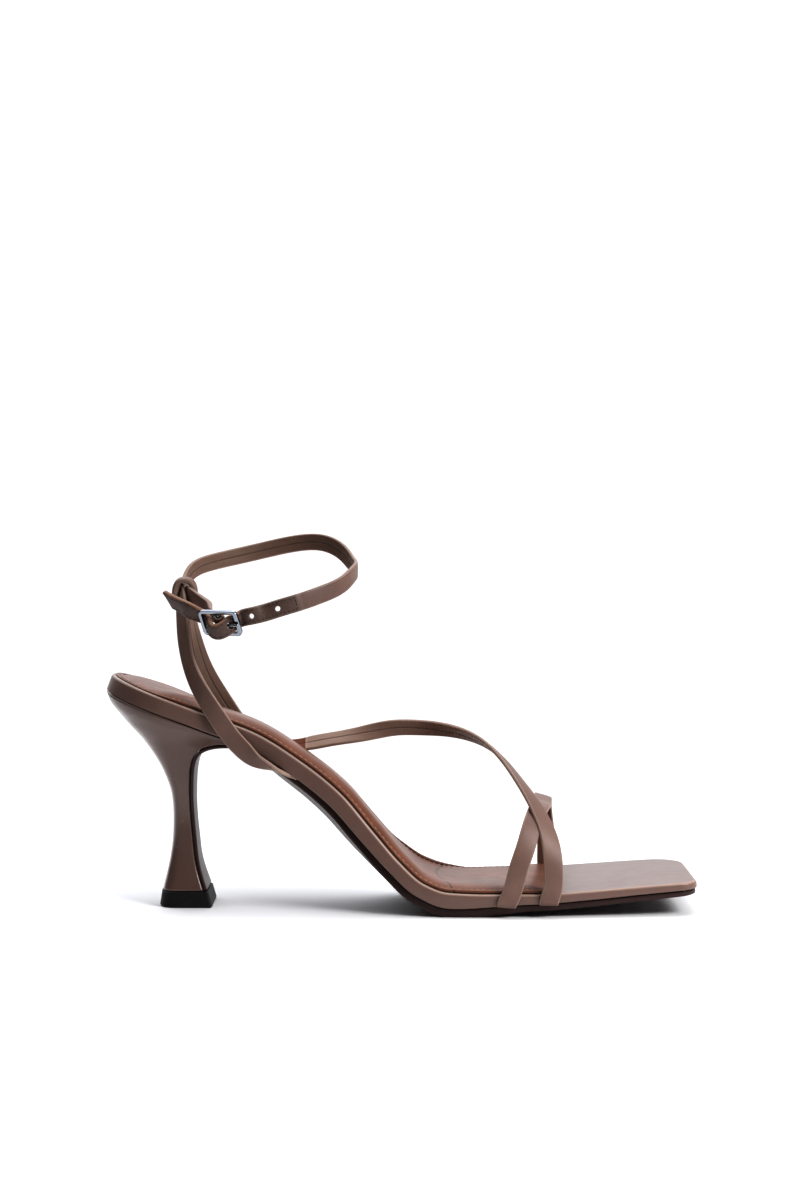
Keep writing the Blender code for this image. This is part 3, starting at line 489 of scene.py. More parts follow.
def pierce(piece, cutters):
    """Cuts round pins out of a piece and drops the pins. Each pin is (start, end, radius) in mm."""
    turns = circle(28)[:, None]
    for start, end, radius in cutters:
        heading = unit(end - start)
        first = unit(np.cross(heading, np.array([0.0, 0.3, 1.0])))
        ring = radius * (np.cos(turns) * first + np.sin(turns) * np.cross(heading, first))
        pin = placed("pin", closed_mesh("pin", np.stack([start + ring, end + ring])))
        modifier = piece.modifiers.new("hole", "BOOLEAN")
        modifier.operation = "DIFFERENCE"
        modifier.solver = "EXACT"
        modifier.object = pin
        graph = bpy.context.evaluated_depsgraph_get()
        cut = bpy.data.meshes.new_from_object(piece.evaluated_get(graph), depsgraph=graph)
        piece.modifiers.clear()
        piece.data = cut
        bpy.data.objects.remove(pin)
    build = bmesh.new()
    build.from_mesh(piece.data)
    bmesh.ops.remove_doubles(build, verts=build.verts, dist=1e-6)
    bmesh.ops.triangulate(build, faces=[face for face in build.faces if len(face.verts) > 4])
    alike = {}
    for face in build.faces:
        alike.setdefault(frozenset(face.verts), []).append(face)
    doubled = [face for group in alike.values() if len(group) > 1 for face in group]
    bmesh.ops.delete(build, geom=doubled, context="FACES")
    build.to_mesh(piece.data)
    build.free()
    piece.data.set_sharp_from_angle(angle=np.radians(50))


# Sole layers


def reach(side, forward, inset=0.0, end=TOE_END, corner=None):
    """Distance from the foot line to one edge: the table's, a half oval at the heel, rounded at the toe."""
    behind = np.clip((HEEL_CENTRE - forward) / (HEEL_RADIUS - inset), 0.0, 1.0)
    wide = (FOOTBED.at(side, forward) - inset) * np.sqrt(1 - behind**2)
    along, across = corner or TOE_CORNERS[side]
    past = np.clip((forward - (end - along)) / along, 0.0, 1.0)
    return wide - across * (1 - np.sqrt(1 - past**2))


def on_sole(length, across, depth):
    """Point at a length along the footbed's top curve, across it and below it."""
    forward = np.interp(length, FINE_LENGTH, FINE_FORWARD)
    step = 0.5  # mm to either side for the slope
    rise = (FOOTBED.at("edge", forward + step) - FOOTBED.at("edge", forward - step)) / (2 * step)
    up = unit(np.stack([-rise, np.zeros_like(rise), np.ones_like(rise)], axis=-1))
    point = np.stack([forward, np.broadcast_to(across, forward.shape), FOOTBED.at("edge", forward)], axis=-1)
    return point - np.asarray(depth)[..., None] * up


class Outline:
    """Plan outline of a sole layer, unrolled along the footbed's curve: pairs of lateral and medial points.

    Pairs run from the back of the heel, or from a start, to the toe, then along the front edge to its
    middle. Each has a normal that points into the layer, and a place on the line down the middle that
    fills join. The inset is a number or a function of the place.
    """

    def __init__(self, inset=0.0, end=TOE_END, corner=None, step=1.5, start=None):
        corner_long = (corner or TOE_CORNERS["medial"])[0]
        begin = HEEL_CENTRE if start is None else start
        run = np.interp([begin, end - corner_long], FINE_FORWARD, FINE_LENGTH)
        lengths = np.linspace(run[0], run[1], int((run[1] - run[0]) / step))
        forward = np.interp(lengths, FINE_LENGTH, FINE_FORWARD)
        if start is None:
            heel = HEEL_CENTRE - (HEEL_RADIUS - inset) * np.cos(quarter(26))
            forward = np.concatenate([heel, forward[1:]])
        bend = end - corner_long + corner_long * np.sin(quarter(26))
        forward = np.concatenate([forward, bend[1:]])
        margins = inset(forward) if callable(inset) else inset
        lateral, medial = [reach(side, forward, margins, end, corner) for side in SIDES]
        middle = (medial - lateral) / 2
        share = np.linspace(0, 1, 22)[1:]
        along = np.pad(np.interp(forward, FINE_FORWARD, FINE_LENGTH), (0, len(share)), mode="edge")
        self.edges = {}
        for side, edge in zip(SIDES, (-lateral, medial)):
            front = edge[-1] + share * (middle[-1] - edge[-1])
            self.edges[side] = np.stack([along, np.concatenate([edge, front])], 1)
        turned = np.searchsorted(forward, end - corner_long)
        ease = np.linspace(0, 1, len(along) - turned)
        spine = np.concatenate([along[:turned], along[turned] + (along[-1] - along[turned]) * ease])
        self.spine = np.stack([spine, np.pad(middle, (0, len(share)), mode="edge")], 1)
        self.forward = np.interp(along, FINE_LENGTH, FINE_FORWARD)
        self.begin = along[0] if start is None else -np.inf
        self.end = along[-1]
        self.limits = {"lateral": lateral[turned], "medial": medial[turned]}
        self.in_corner = np.arange(len(along)) >= turned
        self.inward = self.normals(start is None)

    def normals(self, closed):
        """Directions into the layer at each point of the two edges, across the ring's slope there."""
        ring = np.concatenate([self.edges["lateral"], self.edges["medial"][-2::-1]])
        if closed:
            ring = ring[:-1]
            slope = np.roll(ring, -1, axis=0) - np.roll(ring, 1, axis=0)
        else:
            slope = np.gradient(ring, axis=0)
        inward = unit(np.stack([-slope[:, 1], slope[:, 0]], axis=1))
        count = len(self.forward)
        back = inward[count - 1:][::-1]
        if closed:
            back = np.concatenate([inward[:1], back])
        return {"lateral": inward[:count], "medial": back}

    def at_inset(self, side, inset):
        """The outline moved in by inset, for every pair and every inset, and mitred at the front."""
        inset = np.asarray(inset)
        moved = self.edges[side][:, None] + inset[..., None] * self.inward[side][:, None]
        limit = self.limits[side] - inset
        held = np.clip(moved[..., 1], -limit, limit)
        moved[..., 1] = np.where(self.in_corner[:, None], held, moved[..., 1])
        moved[..., 0] = np.minimum(moved[..., 0], self.end - inset)
        return moved


def bank(forward, inset):
    """Height of the cupped medial rim between the arch and the ball, highest at the edge of the footbed."""
    window = smooth_step(forward, *BANK_COMES) * (1 - smooth_step(forward, *BANK_GOES))
    return BANK * window[:, None] * (1 - smooth_step(inset, *BANK_WIDE))


def layer_grid(outline, insets, depths, fill=LAYER_FILL, crown=0.0, belly=0.0, banked=0.0):
    """Rings of a sole layer: over the top from medial to lateral, down the wall, back below, up again.

    The wall goes through the given insets and depths. Fills run from wall to middle line to wall, bowed up
    by crown and down by belly. The medial wall is lifted by banked.
    """
    lateral, medial = [outline.at_inset(side, insets) for side in SIDES]
    share = np.linspace(0, 1, fill + 2)[1:-1]
    room = np.broadcast_to(insets, depths.shape)[:, :1] + SPINE_ROOM * (medial - lateral)[:, :1, 1]
    spine = outline.spine[:, None].copy()
    spine[..., 0] = np.clip(spine[..., 0], outline.begin + room, outline.end - room)

    def across(start, end):
        """Two straight runs that meet at the middle line."""
        part = 2 * share[:, None]
        return np.where(part <= 1, start + part * (spine - start), spine + (part - 1) * (end - spine))

    top = across(medial[:, :1], lateral[:, :1])
    bottom = across(lateral[:, -1:], medial[:, -1:])
    bow = 1 - (2 * share - 1) ** 2
    banked = np.broadcast_to(banked, depths.shape)
    top_depth = depths[:, :1] - banked[:, :1] * (1 - share) - np.reshape(crown, (-1, 1)) * bow
    bottom_depth = depths[:, -1:] + np.reshape(belly, (-1, 1)) * bow
    plan = np.concatenate([top, lateral, bottom, medial[:, ::-1]], axis=1)
    depth = np.concatenate([top_depth, depths, bottom_depth, (depths - banked)[:, ::-1]], axis=1)
    return on_sole(plan[..., 0], plan[..., 1], depth)


def layer_marks(walls, fill=LAYER_FILL, bottom=0.0):
    """Marks for the rings of a layer, from those down its wall and one number for its lower side."""
    walls = np.atleast_2d(walls).astype(float)
    run = np.ones((len(walls), fill))
    return np.concatenate([0 * run, walls, bottom * run, walls[:, ::-1]], axis=1)


def wall(top, bottom, rounds):
    """Insets and depths down a rounded edge: a quarter circle, the straight wall, and a quarter circle."""
    turn = quarter(7)
    insets = np.concatenate([rounds[0] * (1 - np.sin(turn)), rounds[1] * (1 - np.cos(turn))])
    upper = top[:, None] + rounds[0] * (1 - np.cos(turn))
    lower = bottom[:, None] - rounds[1] * (1 - np.sin(turn))
    return insets, np.concatenate([upper, lower], axis=1)


# Straps


class Strap:
    """A strap's inner middle line with its frame, read closely along a spline through table points."""

    def __init__(self, points, faces, widths, thick):
        self.places = run_length(points)
        self.at = np.linspace(0.0, self.places[-1], int(self.places[-1] / STRAP_STEP))
        self.path = fair(points, self.places, self.at)
        along = unit(np.gradient(self.path, self.at, axis=0))
        out = unit(fair(faces, self.places, self.at))
        self.out = unit(out - np.sum(out * along, axis=1, keepdims=True) * along)
        self.across = np.cross(self.out, along)
        self.width = np.interp(self.at, self.places, widths)
        self.thick = np.interp(self.at, self.places, np.broadcast_to(thick, len(self.places)))
        self.shift = np.zeros(len(self.at))

    def point(self, at, across, out):
        """Point beside and out of the inner middle line, for any arrays of places."""
        def read(values):
            return np.stack([np.interp(at, self.at, column) for column in values.T], axis=-1)
        return read(self.path) + across[..., None] * read(self.across) + out[..., None] * read(self.out)

    def rings(self):
        """Folded leather section: domed outside, round folded edges, and a seam along the middle inside."""
        half = self.width[:, None] / 2
        thick = self.thick[:, None]
        fold = np.minimum(STRAP_FOLD, half * 0.6)
        flat = half - fold
        outer = np.linspace(-1, 1, 13)
        inner = np.array([1, 0.75, 0.5, 0.25, 0.1, 0.05, 0, -0.05, -0.1, -0.25, -0.5, -0.75, -1.0])
        bend = np.radians(np.linspace(90, -90, 9))[1:-1]
        edge = flat + fold * np.cos(bend)
        edge_out = thick * 0.46 * (1 + np.sin(bend))
        seam = SEAM_DEPTH * np.maximum(0.0, 1 - np.abs(inner) / SEAM_SHARE)
        inner_out = np.broadcast_to(seam, (len(thick), len(inner)))
        across = np.concatenate([outer * flat, edge, inner * flat, -edge[:, ::-1]], axis=1)
        outer_out = thick * (1 - STRAP_DOME * outer**2)
        out = np.concatenate([outer_out, edge_out, inner_out, edge_out[:, ::-1]], axis=1)
        beside = across + self.shift[:, None]
        grid = self.path[:, None] + beside[..., None] * self.across[:, None]
        grid = grid + out[..., None] * self.out[:, None]
        sizes = (len(outer), len(bend), len(inner), len(bend))
        marks = {
            "along": np.broadcast_to(self.at[:, None], across.shape),
            "across": across,
            "inside": np.broadcast_to(np.repeat((0.0, 0.0, 1.0, 0.0), sizes), across.shape),
            # edge: folded edges, which the finish lightens as a painted highlight
            "edge": np.broadcast_to(np.repeat((0.0, 1.0, 0.0, 1.0), sizes), across.shape),
        }
        return grid, marks


def last_point(forward, around, lift):
    """Point of the last over the footbed: an oval from the lateral edge over to the medial edge."""
    turn = np.radians(around)
    level = abs(np.cos(turn)) ** (2 / LAST_SQUARENESS)
    rise = abs(np.sin(turn)) ** (2 / LAST_SQUARENESS)
    side, sign = ("lateral", -1) if around < 90 else ("medial", 1)
    across = sign * level * (float(reach(side, forward)) + STRAP_CLEAR + lift)
    height = float(FOOTBED.at("edge", forward)) + rise * (float(LAST.at("height", forward)) + lift)
    return np.array([forward, across, height])


def last_face(forward, around, lift):
    """Direction straight out of the last, across its two tangents."""
    turn = np.clip(around, 2.0, 178.0)
    along = last_point(forward + 0.5, turn, lift) - last_point(forward - 0.5, turn, lift)
    over = last_point(forward, turn + 1, lift) - last_point(forward, turn - 1, lift)
    return unit(np.cross(along, over))


def strap_foot(forward, lean, side):
    """Points and faces of a strap end, from the footbed's edge down its side and round under it."""
    sign = -1 if side == "lateral" else 1
    reach_out = FOOTBED_LOWER_ROUND + STRAP_CLEAR
    angle = np.radians(FOOT_TURNS)
    place = forward + lean * np.array([0.8, 1.0, 1.0])
    length = np.interp(place, FINE_FORWARD, FINE_LENGTH)
    across = sign * (reach(side, place) - FOOTBED_LOWER_ROUND + reach_out * np.cos(angle))
    depth = FOOTBED.at("thick", place) - FOOTBED_LOWER_ROUND + reach_out * np.sin(angle)
    up = on_sole(length, across, -np.ones(3)) - on_sole(length, across, np.zeros(3))
    level = np.array([0.0, sign, 0.0]) * np.cos(angle)[:, None]
    return on_sole(length, across, depth), level - up * np.sin(angle)[:, None]


def forefoot_strap(rows, feet, level=0.0, lean=0.0, taper=0.0):
    """Strap over the last from one edge of the footbed to the other, with both ends turned under.

    Its top can lie more level than the last does, and its far end can lean out.
    """
    points = np.array([last_point(*row) for row in rows])
    faces = np.array([last_face(*row) for row in rows])
    around = np.array([row[1] for row in rows])
    faces[:, 2] += level * np.sin(np.radians(around)) ** 4
    far = smooth_step(around, 150.0, 178.0)
    faces[:, 2] -= lean * far
    faces = unit(faces)
    points[:, 2] -= lean * far
    low, low_faces = strap_foot(rows[0][0], feet[0], "lateral")
    high, high_faces = strap_foot(rows[-1][0], feet[1], "medial")
    points = np.concatenate([low[::-1], points, high])
    faces = np.concatenate([low_faces[::-1], faces, high_faces])
    narrow = taper * np.pad(smooth_step(around, 80.0, 130.0), 3, mode="edge")
    return Strap(points, faces, FOREFOOT_WIDTH - narrow, STRAP_THICK)


def heading_face(turn, roll):
    """Direction at an angle from straight back, turned to look down by roll."""
    angle = np.radians(turn)
    down = np.radians(roll)
    return np.array([-np.cos(angle) * np.cos(down), np.sin(angle) * np.cos(down), -np.sin(down)])


def ring_face(turn):
    """Direction out of the oval of the ankle."""
    angle = np.radians(turn)
    return unit(np.array([-np.cos(angle) / ANKLE_RADII[0], np.sin(angle) / ANKLE_RADII[1], 0.0]))


def ring_point(turn, height):
    """Point of the ankle's oval: its centre plus each radius times the turn's cosine or sine."""
    angle = np.radians(turn)
    forward = ANKLE_CENTRE[0] - ANKLE_RADII[0] * np.cos(angle)
    return np.array([forward, ANKLE_CENTRE[1] + ANKLE_RADII[1] * np.sin(angle), height])


def buckle_axes():
    """Along the buckle to the front, across it upwards, and out of its face."""
    yaw = np.radians(BUCKLE_YAW)
    lean = np.radians(BUCKLE_LEAN)
    along = np.array([np.cos(yaw), np.sin(yaw), 0.0])
    out = np.array([np.sin(yaw) * np.cos(lean), -np.cos(yaw) * np.cos(lean), -np.sin(lean)])
    return np.stack([along, np.cross(along, -out), out])


def in_buckle(places):
    """Points given along, across and out of the buckle, put in the shoe."""
    return np.array(BUCKLE_CENTRE) + np.asarray(places, float) @ buckle_axes()


class Route:
    """Middle line of a strap as it is gathered row by row: points, faces, widths and thicknesses."""

    def __init__(self):
        self.points, self.faces, self.widths, self.thick = [], [], [], []

    def add(self, point, face, width, thick):
        """Adds a row, moved in from the middle of the wall by half its thickness."""
        self.points.append(np.array(point, float) - np.array(face) * thick / 2)
        self.faces.append(face)
        self.widths.append(width)
        self.thick.append(thick)

    def add_rows(self, rows, thick):
        """Adds the rows of a table."""
        for forward, across, height, turn, roll, width in rows:
            self.add((forward, across, height), heading_face(turn, roll), width, thick)

    def strap(self):
        return Strap(self.points, self.faces, self.widths, self.thick)


def ankle_route():
    """From the lateral waist up through the loop, round the ankle, through the buckle to the tail."""
    route = Route()
    route.add_rows(ANKLE_RISE, STRAP_THICK)
    doubled = STRAP_THICK + TIP_STEP
    for turn, height in ANKLE_RING:
        thick = doubled if turn > TIP_START_TURN else STRAP_THICK
        route.add(ring_point(turn, height), ring_face(turn), ANKLE_WIDTH, thick)
    for row in WEAVE:
        upright = np.array([0.0, 0.0, 0.35 * smooth_step(row[0], 5.0, 11.0)])
        route.add(in_buckle(row), unit(buckle_axes()[2] + upright), ANKLE_WIDTH, doubled)
    route.add_rows(TAIL, doubled)
    point = route.points[-1] + unit(route.points[-1] - route.points[-2]) * TAIL_POINT
    route.add(point + route.faces[-1] * doubled / 2, route.faces[-1], TAIL_TIP_WIDTH, doubled)
    return route


def buckle_route():
    """From the medial waist up through the loop to an eye round the middle bar of the buckle."""
    route = Route()
    route.add_rows(BUCKLE_RISE, STRAP_THICK)
    route.add_rows(BUCKLE_FOLD, FOLD_THICK)
    along, _, out = buckle_axes()
    route.add(in_buckle((EYE_START[0], 0.0, EYE_START[1])), out, EYE_WIDTH, EYE_THICK)
    middle = BUCKLE_BAR / 2 + GAP + EYE_THICK / 2
    for turn in np.radians(range(-75, 166, 30)):
        face = along * np.cos(turn) + out * np.sin(turn)
        route.add(np.array(BUCKLE_CENTRE) + face * middle, -face, EYE_WIDTH, EYE_THICK)
    return route


def stitch_grid(read, starts, length, radius):
    """Stitches as beads: a round section that is thickest in the middle and dips at both ends.

    read gives a point for a place along the row, beside it and out of the leather.
    """
    share = np.linspace(-1, 1, 7)[:, None]
    turn = circle(6)
    thick = radius * np.sqrt(1.01 - share**2)
    shape = (len(starts), len(share), len(turn))
    places = (
        starts[:, None, None] + (share + 1) / 2 * length,
        thick * np.cos(turn),
        radius * (0.45 - 0.9 * share**4) + thick * np.sin(turn),
    )
    return read(*[np.broadcast_to(place, shape) for place in places])


# Finishes


class Signal:
    """A value that runs through a material's nodes. Sums and products of it add Math nodes."""

    def __init__(self, finish, socket):
        self.finish = finish
        self.socket = socket

    def maths(self, operation, *values):
        """One Math node with its values."""
        return self.finish.node("ShaderNodeMath", {"operation": operation}, dict(enumerate(values)))

    def __add__(self, other):
        return self.maths("ADD", self, other)

    def __sub__(self, other):
        return self.maths("SUBTRACT", self, other)

    def __rsub__(self, other):
        return self.maths("SUBTRACT", other, self)

    def __mul__(self, other):
        return self.maths("MULTIPLY", self, other)

    def __truediv__(self, other):
        return self.maths("DIVIDE", self, other)

    def __abs__(self):
        return self.maths("ABSOLUTE", self)

    __radd__ = __add__
    __rmul__ = __mul__


class Nodes:
    """A node tree: nodes are added by type, with their settings and the values or links of their sockets."""

    def __init__(self, tree):
        self.tree = tree

    def node(self, kind, settings, sockets, output=0):
        """Adds a node, sets it, fills its sockets and gives one of its outputs."""
        made = self.tree.nodes.new(kind)
        for key, value in settings.items():
            setattr(made, key, value)
        self.fill(made, sockets)
        return Signal(self, made.outputs[output])

    def fill(self, made, sockets):
        """Links signals to sockets and sets the other values."""
        for key, value in sockets.items():
            if isinstance(value, Signal):
                self.tree.links.new(value.socket, made.inputs[key])
            else:
                made.inputs[key].default_value = value

    def axis(self, vector, name):
        """One of a vector's three numbers."""
        return self.node("ShaderNodeSeparateXYZ", {}, {0: vector}, name)

    def ramp(self, value, low, high):
        """0 below low, 1 above high, with an S curve between."""
        sockets = {0: value, 1: low, 2: high, 3: 0.0, 4: 1.0}
        return self.node("ShaderNodeMapRange", {"interpolation_type": "SMOOTHSTEP"}, sockets)


class Finish(Nodes):
    """One material and its shader."""

    def __init__(self, name, **constants):
        self.material = bpy.data.materials.new(name)
        self.material.use_nodes = True
        super().__init__(self.material.node_tree)
        self.shader = self.tree.nodes["Principled BSDF"]
        self.feed(**constants)

    def feed(self, **sockets):
        """Sets or links the shader's own sockets; base_color means Base Color."""
        self.fill(self.shader, {
            key.replace("_", " ").title().replace("Ior", "IOR"): value for key, value in sockets.items()
        })

    def place(self):
        """Object coordinates."""
        return self.node("ShaderNodeTexCoord", {}, {}, "Object")

    def mark(self, name):
        """A number kept on the piece's own points."""
        return self.node("ShaderNodeAttribute", {"attribute_name": name}, {}, "Fac")

    def streaks(self, scale, detail):
        """Noise with a scale of its own along each axis."""
        vector = self.node("ShaderNodeVectorMath", {"operation": "MULTIPLY"}, {0: self.place(), 1: scale})
        return self.noise(1.0, detail, vector)

    def noise(self, scale, detail=3.0, vector=None, roughness=0.5):
        """Soft noise over the piece, about one wave for each 1 / scale metres."""
        sockets = {"Vector": vector or self.place(), "Scale": scale, "Detail": detail}
        return self.node("ShaderNodeTexNoise", {}, sockets | {"Roughness": roughness}, "Fac")

    def cells(self, scale):
        """Distance to the middle of the nearest grain cell."""
        sockets = {"Vector": self.place(), "Scale": scale}
        return self.node("ShaderNodeTexVoronoi", {"feature": "F1"}, sockets, "Distance")

    def mix(self, share, first, second):
        """A colour between two colours."""
        first, second = [c if isinstance(c, Signal) else (*c[:3], 1.0) for c in (first, second)]
        return self.node("ShaderNodeMix", {"data_type": "RGBA"}, {0: share, 6: first, 7: second}, 2)

    def shades(self, share, colour, low, high):
        """A colour between two tints of one colour."""
        return self.mix(share, tint(colour, low), tint(colour, high))

    def bump(self, height, distance, strength, normal=None):
        """Normal of a relief of the given height, on another relief if there is one."""
        sockets = {"Height": height, "Distance": distance, "Strength": strength}
        if normal is not None:
            sockets["Normal"] = normal
        return self.node("ShaderNodeBump", {}, sockets)

    def done(self, base, rough, height, distance, strength, normal=None):
        """Feeds the colour, roughness and relief to the shader, and gives the material."""
        self.feed(base_color=base, roughness=rough, normal=self.bump(height, distance, strength, normal))
        return self.material


def tint(colour, factor):
    """A colour times a factor, up to white."""
    return tuple(min(1.0, c * factor) for c in colour[:3])


def leather_grain(finish, size):
    """Height of fine leather: small pebbles with pores, on a soft unevenness."""
    pores = finish.noise(2.6 / size, 2.0)
    return finish.cells(1 / size) * 0.6 + pores * 0.4 + finish.noise(0.12 / size, 2.0) * 0.8


def strap_leather(sizes, colours, name="strap_leather", lining=None):
    """Taupe leather with painted highlights on folds and tucks, paler cut edges, a seamed lining, and creases
    across bends.
    """
    finish = Finish(name, coat_weight=0.06, coat_roughness=0.35)
    inside, edge, tab = [finish.mark(mark) for mark in ("inside", "edge", "tab")]
    base = finish.shades(finish.ramp(finish.noise(90.0), 0.3, 0.7), colours.taupe, 0.92, 1.07)
    lined = finish.shades(finish.noise(420.0, 4.0), lining or colours.lining, 0.88, 1.1)
    base = finish.mix(inside, base, lined)
    # folded edges get a painted highlight; cut edges, as on the keeper, are really paler
    base = finish.mix(edge * 0.45, base, colours.edge)
    # painted highlight on tucked strap ends and on the instep strap's far inside
    base = finish.mix(finish.mark("tuck_highlight") * 0.75, base, colours.edge)
    base = finish.mix(finish.mark("tip") * 0.52 * (1 - inside), base, tint(colours.taupe, 0.32))
    base = finish.mix(edge * finish.mark("raw") * 0.75, base, colours.raw)
    seam = inside * (1 - finish.ramp(abs(finish.mark("across")), 0.1, 0.4))
    base = finish.mix(seam * 0.45, base, tint(colours.taupe, 0.3))
    suede = finish.shades(finish.noise(700.0, 4.0), colours.sock, 0.7, 1.25)
    base = finish.mix(finish.ramp(tab, 0.4, 0.6), base, suede)
    cut = finish.ramp(tab, 0.08, 0.16) * (1 - finish.ramp(tab, 0.4, 0.5)) * inside
    base = finish.mix(cut * 0.8, base, colours.edge)
    creases = finish.streaks((260.0, 260.0, 900.0), 2.0)
    rough = 0.43 + finish.noise(300.0) * 0.12 + inside * 0.12 + finish.ramp(tab, 0.3, 0.6) * 0.3
    return finish.done(base, rough, leather_grain(finish, sizes.grain) + creases * 0.35, sizes.relief, 0.55)


def footbed_leather(sizes, colours):
    """Smooth taupe leather wrapped over the board, with a painted highlight along the rounded top edge and
    painted shade on the underside.
    """
    finish = Finish("footbed_leather", coat_weight=0.3, coat_roughness=0.3)
    base = finish.shades(finish.ramp(finish.noise(45.0), 0.3, 0.7), colours.footbed, 0.94, 1.05)
    base = finish.mix(finish.mark("wall"), base, tint(colours.taupe, 0.95))
    # painted highlight along the rounded top edge
    base = finish.mix(finish.mark("rim") * 0.75, base, colours.edge)
    # painted shade on the lower round and the underside, over the inset outsole
    base = finish.mix(finish.mark("under") * 0.6, base, tint(colours.footbed, 0.45))
    drawn = finish.streaks((60.0, 700.0, 700.0), 3.0)
    rough = 0.36 + finish.noise(220.0) * 0.12
    return finish.done(base, rough, leather_grain(finish, sizes.grain) + drawn * 0.4, sizes.relief, 0.45)


def sock_leather(sizes, colours):
    """Cognac leather over thin foam, mottled, with painted shade in the stitch channel, and a seam across the
    ball.
    """
    finish = Finish("sock_leather", coat_weight=0.14, coat_roughness=0.26, specular_ior_level=0.42)
    mottle = finish.ramp(finish.noise(70.0, 5.0, roughness=0.6), 0.3, 0.72)
    base = finish.shades(mottle, colours.sock, 0.82, 1.12)
    # painted shade in the stitch channel
    base = finish.mix(finish.mark("channel") * 0.55, base, tint(colours.sock, 0.3))
    place = finish.place()
    across = finish.axis(place, "Y") / MM - SHIFT[1]
    forward = finish.axis(place, "X") / MM - SHIFT[0]
    seam = abs(forward - (SOCK_SEAM + across * across * SOCK_SEAM_BOW))
    line = 1 - finish.ramp(seam, 0.12, 0.5)
    base = finish.mix(line * 0.7, base, tint(colours.sock, 0.25))
    pull = finish.streaks((110.0, 420.0, 420.0), 2.0)
    relief = finish.bump(leather_grain(finish, sizes.grain) + pull * 0.5, sizes.relief, 0.6)
    rough = 0.3 + finish.noise(160.0, 4.0) * 0.16
    return finish.done(base, rough, 1 - line, 0.25 * MM, 0.9, relief)


def sole_leather(sizes, colours):
    """Dark brown sole leather: polished at its edge, brushed fibres and light scuffs below."""
    finish = Finish("sole_leather", coat_weight=0.05, coat_roughness=0.35)
    finish.feed(specular_tint=(0.95, 0.74, 0.76, 1.0))
    fibres = finish.streaks((120.0, 900.0, 900.0), 4.0)
    base = finish.shades(fibres, colours.outsole, 0.75, 1.3)
    scuff = finish.ramp(finish.noise(55.0, 6.0, roughness=0.7), 0.55, 0.8)
    base = finish.mix(scuff * 0.25, base, tint(colours.outsole, 2.2))
    return finish.done(base, 0.3 + fibres * 0.18 + scuff * 0.1, fibres + scuff * 0.5, sizes.relief, 0.4)


def heel_leather(sizes, colours):
    """Thin leather drawn tight over the heel block and polished, with a faint orange peel."""
    finish = Finish("heel_leather", coat_weight=0.4, coat_roughness=0.16)
    base = finish.shades(finish.ramp(finish.noise(40.0), 0.3, 0.7), colours.heel, 0.93, 1.06)
    peel = finish.noise(480.0, 2.0) * 0.5 + finish.noise(1700.0, 2.0) * 0.2
    return finish.done(base, 0.22 + finish.noise(150.0) * 0.08, peel, sizes.relief, 0.15)


def heel_rubber(sizes, colours):
    """Matt black moulded rubber with a fine sandy face."""
    finish = Finish("heel_rubber", specular_ior_level=0.4)
    dust = finish.ramp(finish.noise(260.0, 5.0), 0.5, 0.8)
    base = finish.mix(dust * 0.5, colours.rubber, tint(colours.rubber, 2.4))
    sand = finish.noise(2600.0) + finish.noise(500.0, 2.0) * 0.6
    return finish.done(base, 0.5 + finish.noise(400.0) * 0.16, sand, sizes.relief, 0.5)


def polished_metal(sizes, colours):
    """Polished nickel with hairline scratches and a slightly uneven face."""
    finish = Finish("polished_metal", metallic=1.0)
    hairs = finish.streaks((300.0, 300.0, 5200.0), 3.0)
    smear = finish.noise(380.0, 4.0)
    base = finish.mix(smear * 0.5, colours.metal, tint(colours.metal, 0.82))
    rough = 0.07 + smear * 0.08 + finish.ramp(hairs, 0.6, 0.75) * 0.08
    return finish.done(base, rough, hairs + smear, sizes.relief * 0.4, 0.2)


def thread(name, colour, sizes):
    """Waxed thread, its twist shown as fine slanted ridges."""
    finish = Finish(name, coat_weight=0.1, coat_roughness=0.4)
    twist = finish.streaks((5200.0, 3800.0, 3000.0), 2.0)
    return finish.done(finish.shades(twist, colour, 0.75, 1.2), 0.5 + twist * 0.15, twist, sizes.relief, 0.6)


def studio_floor(colours):
    """Matt white paper sweep with barely visible fibres."""
    finish = Finish("studio_floor", specular_ior_level=0.2)
    fibres = finish.noise(900.0)
    base = finish.mix(fibres, tint(colours.floor, 0.985), colours.floor)
    finish.feed(base_color=base, roughness=0.75 + fibres * 0.1)
    return finish.material


# Settings


def colour_setting(name, description, default):
    """A colour that the panel shows."""
    return FloatVectorProperty(
        name=name, description=description, subtype="COLOR", size=3, min=0.0, max=1.0, default=default,
    )


def length_setting(name, description, default):
    """A length in metres that the panel shows."""
    return FloatProperty(
        name=name, description=description, unit="LENGTH", min=0.0, default=default, precision=5,
    )


class SandalSizes(bpy.types.PropertyGroup):
    """Sizes of the fine detail and of the studio."""

    grain: length_setting("Grain", "Size of one pebble of the leather's grain", 0.0006)
    relief: length_setting("Relief", "Height of the leather's grain", 0.00006)
    stitch_pitch: length_setting("Stitch pitch", "Distance from one stitch to the next", 0.0023)
    stitch_length: length_setting("Stitch length", "Length of the thread seen in one stitch", 0.0017)
    thread_radius: length_setting("Thread radius", "Half the thickness of the thread", 0.00024)
    padding: length_setting("Sock padding", "How far the foam lifts the sock", 0.0019)
    camera_distance: length_setting("Camera distance", "From the shoe's middle to the camera", 0.947807)
    camera_height: length_setting("Camera height", "Height of the camera above the floor", 0.156)
    camera_pitch: FloatProperty(
        name="Camera pitch", description="How far the camera looks down", subtype="ANGLE", default=0.040499,
    )
    camera_lens: FloatProperty(
        name="Camera lens", description="Focal length in mm for a 36 mm sensor", min=1.0, default=73.89,
    )


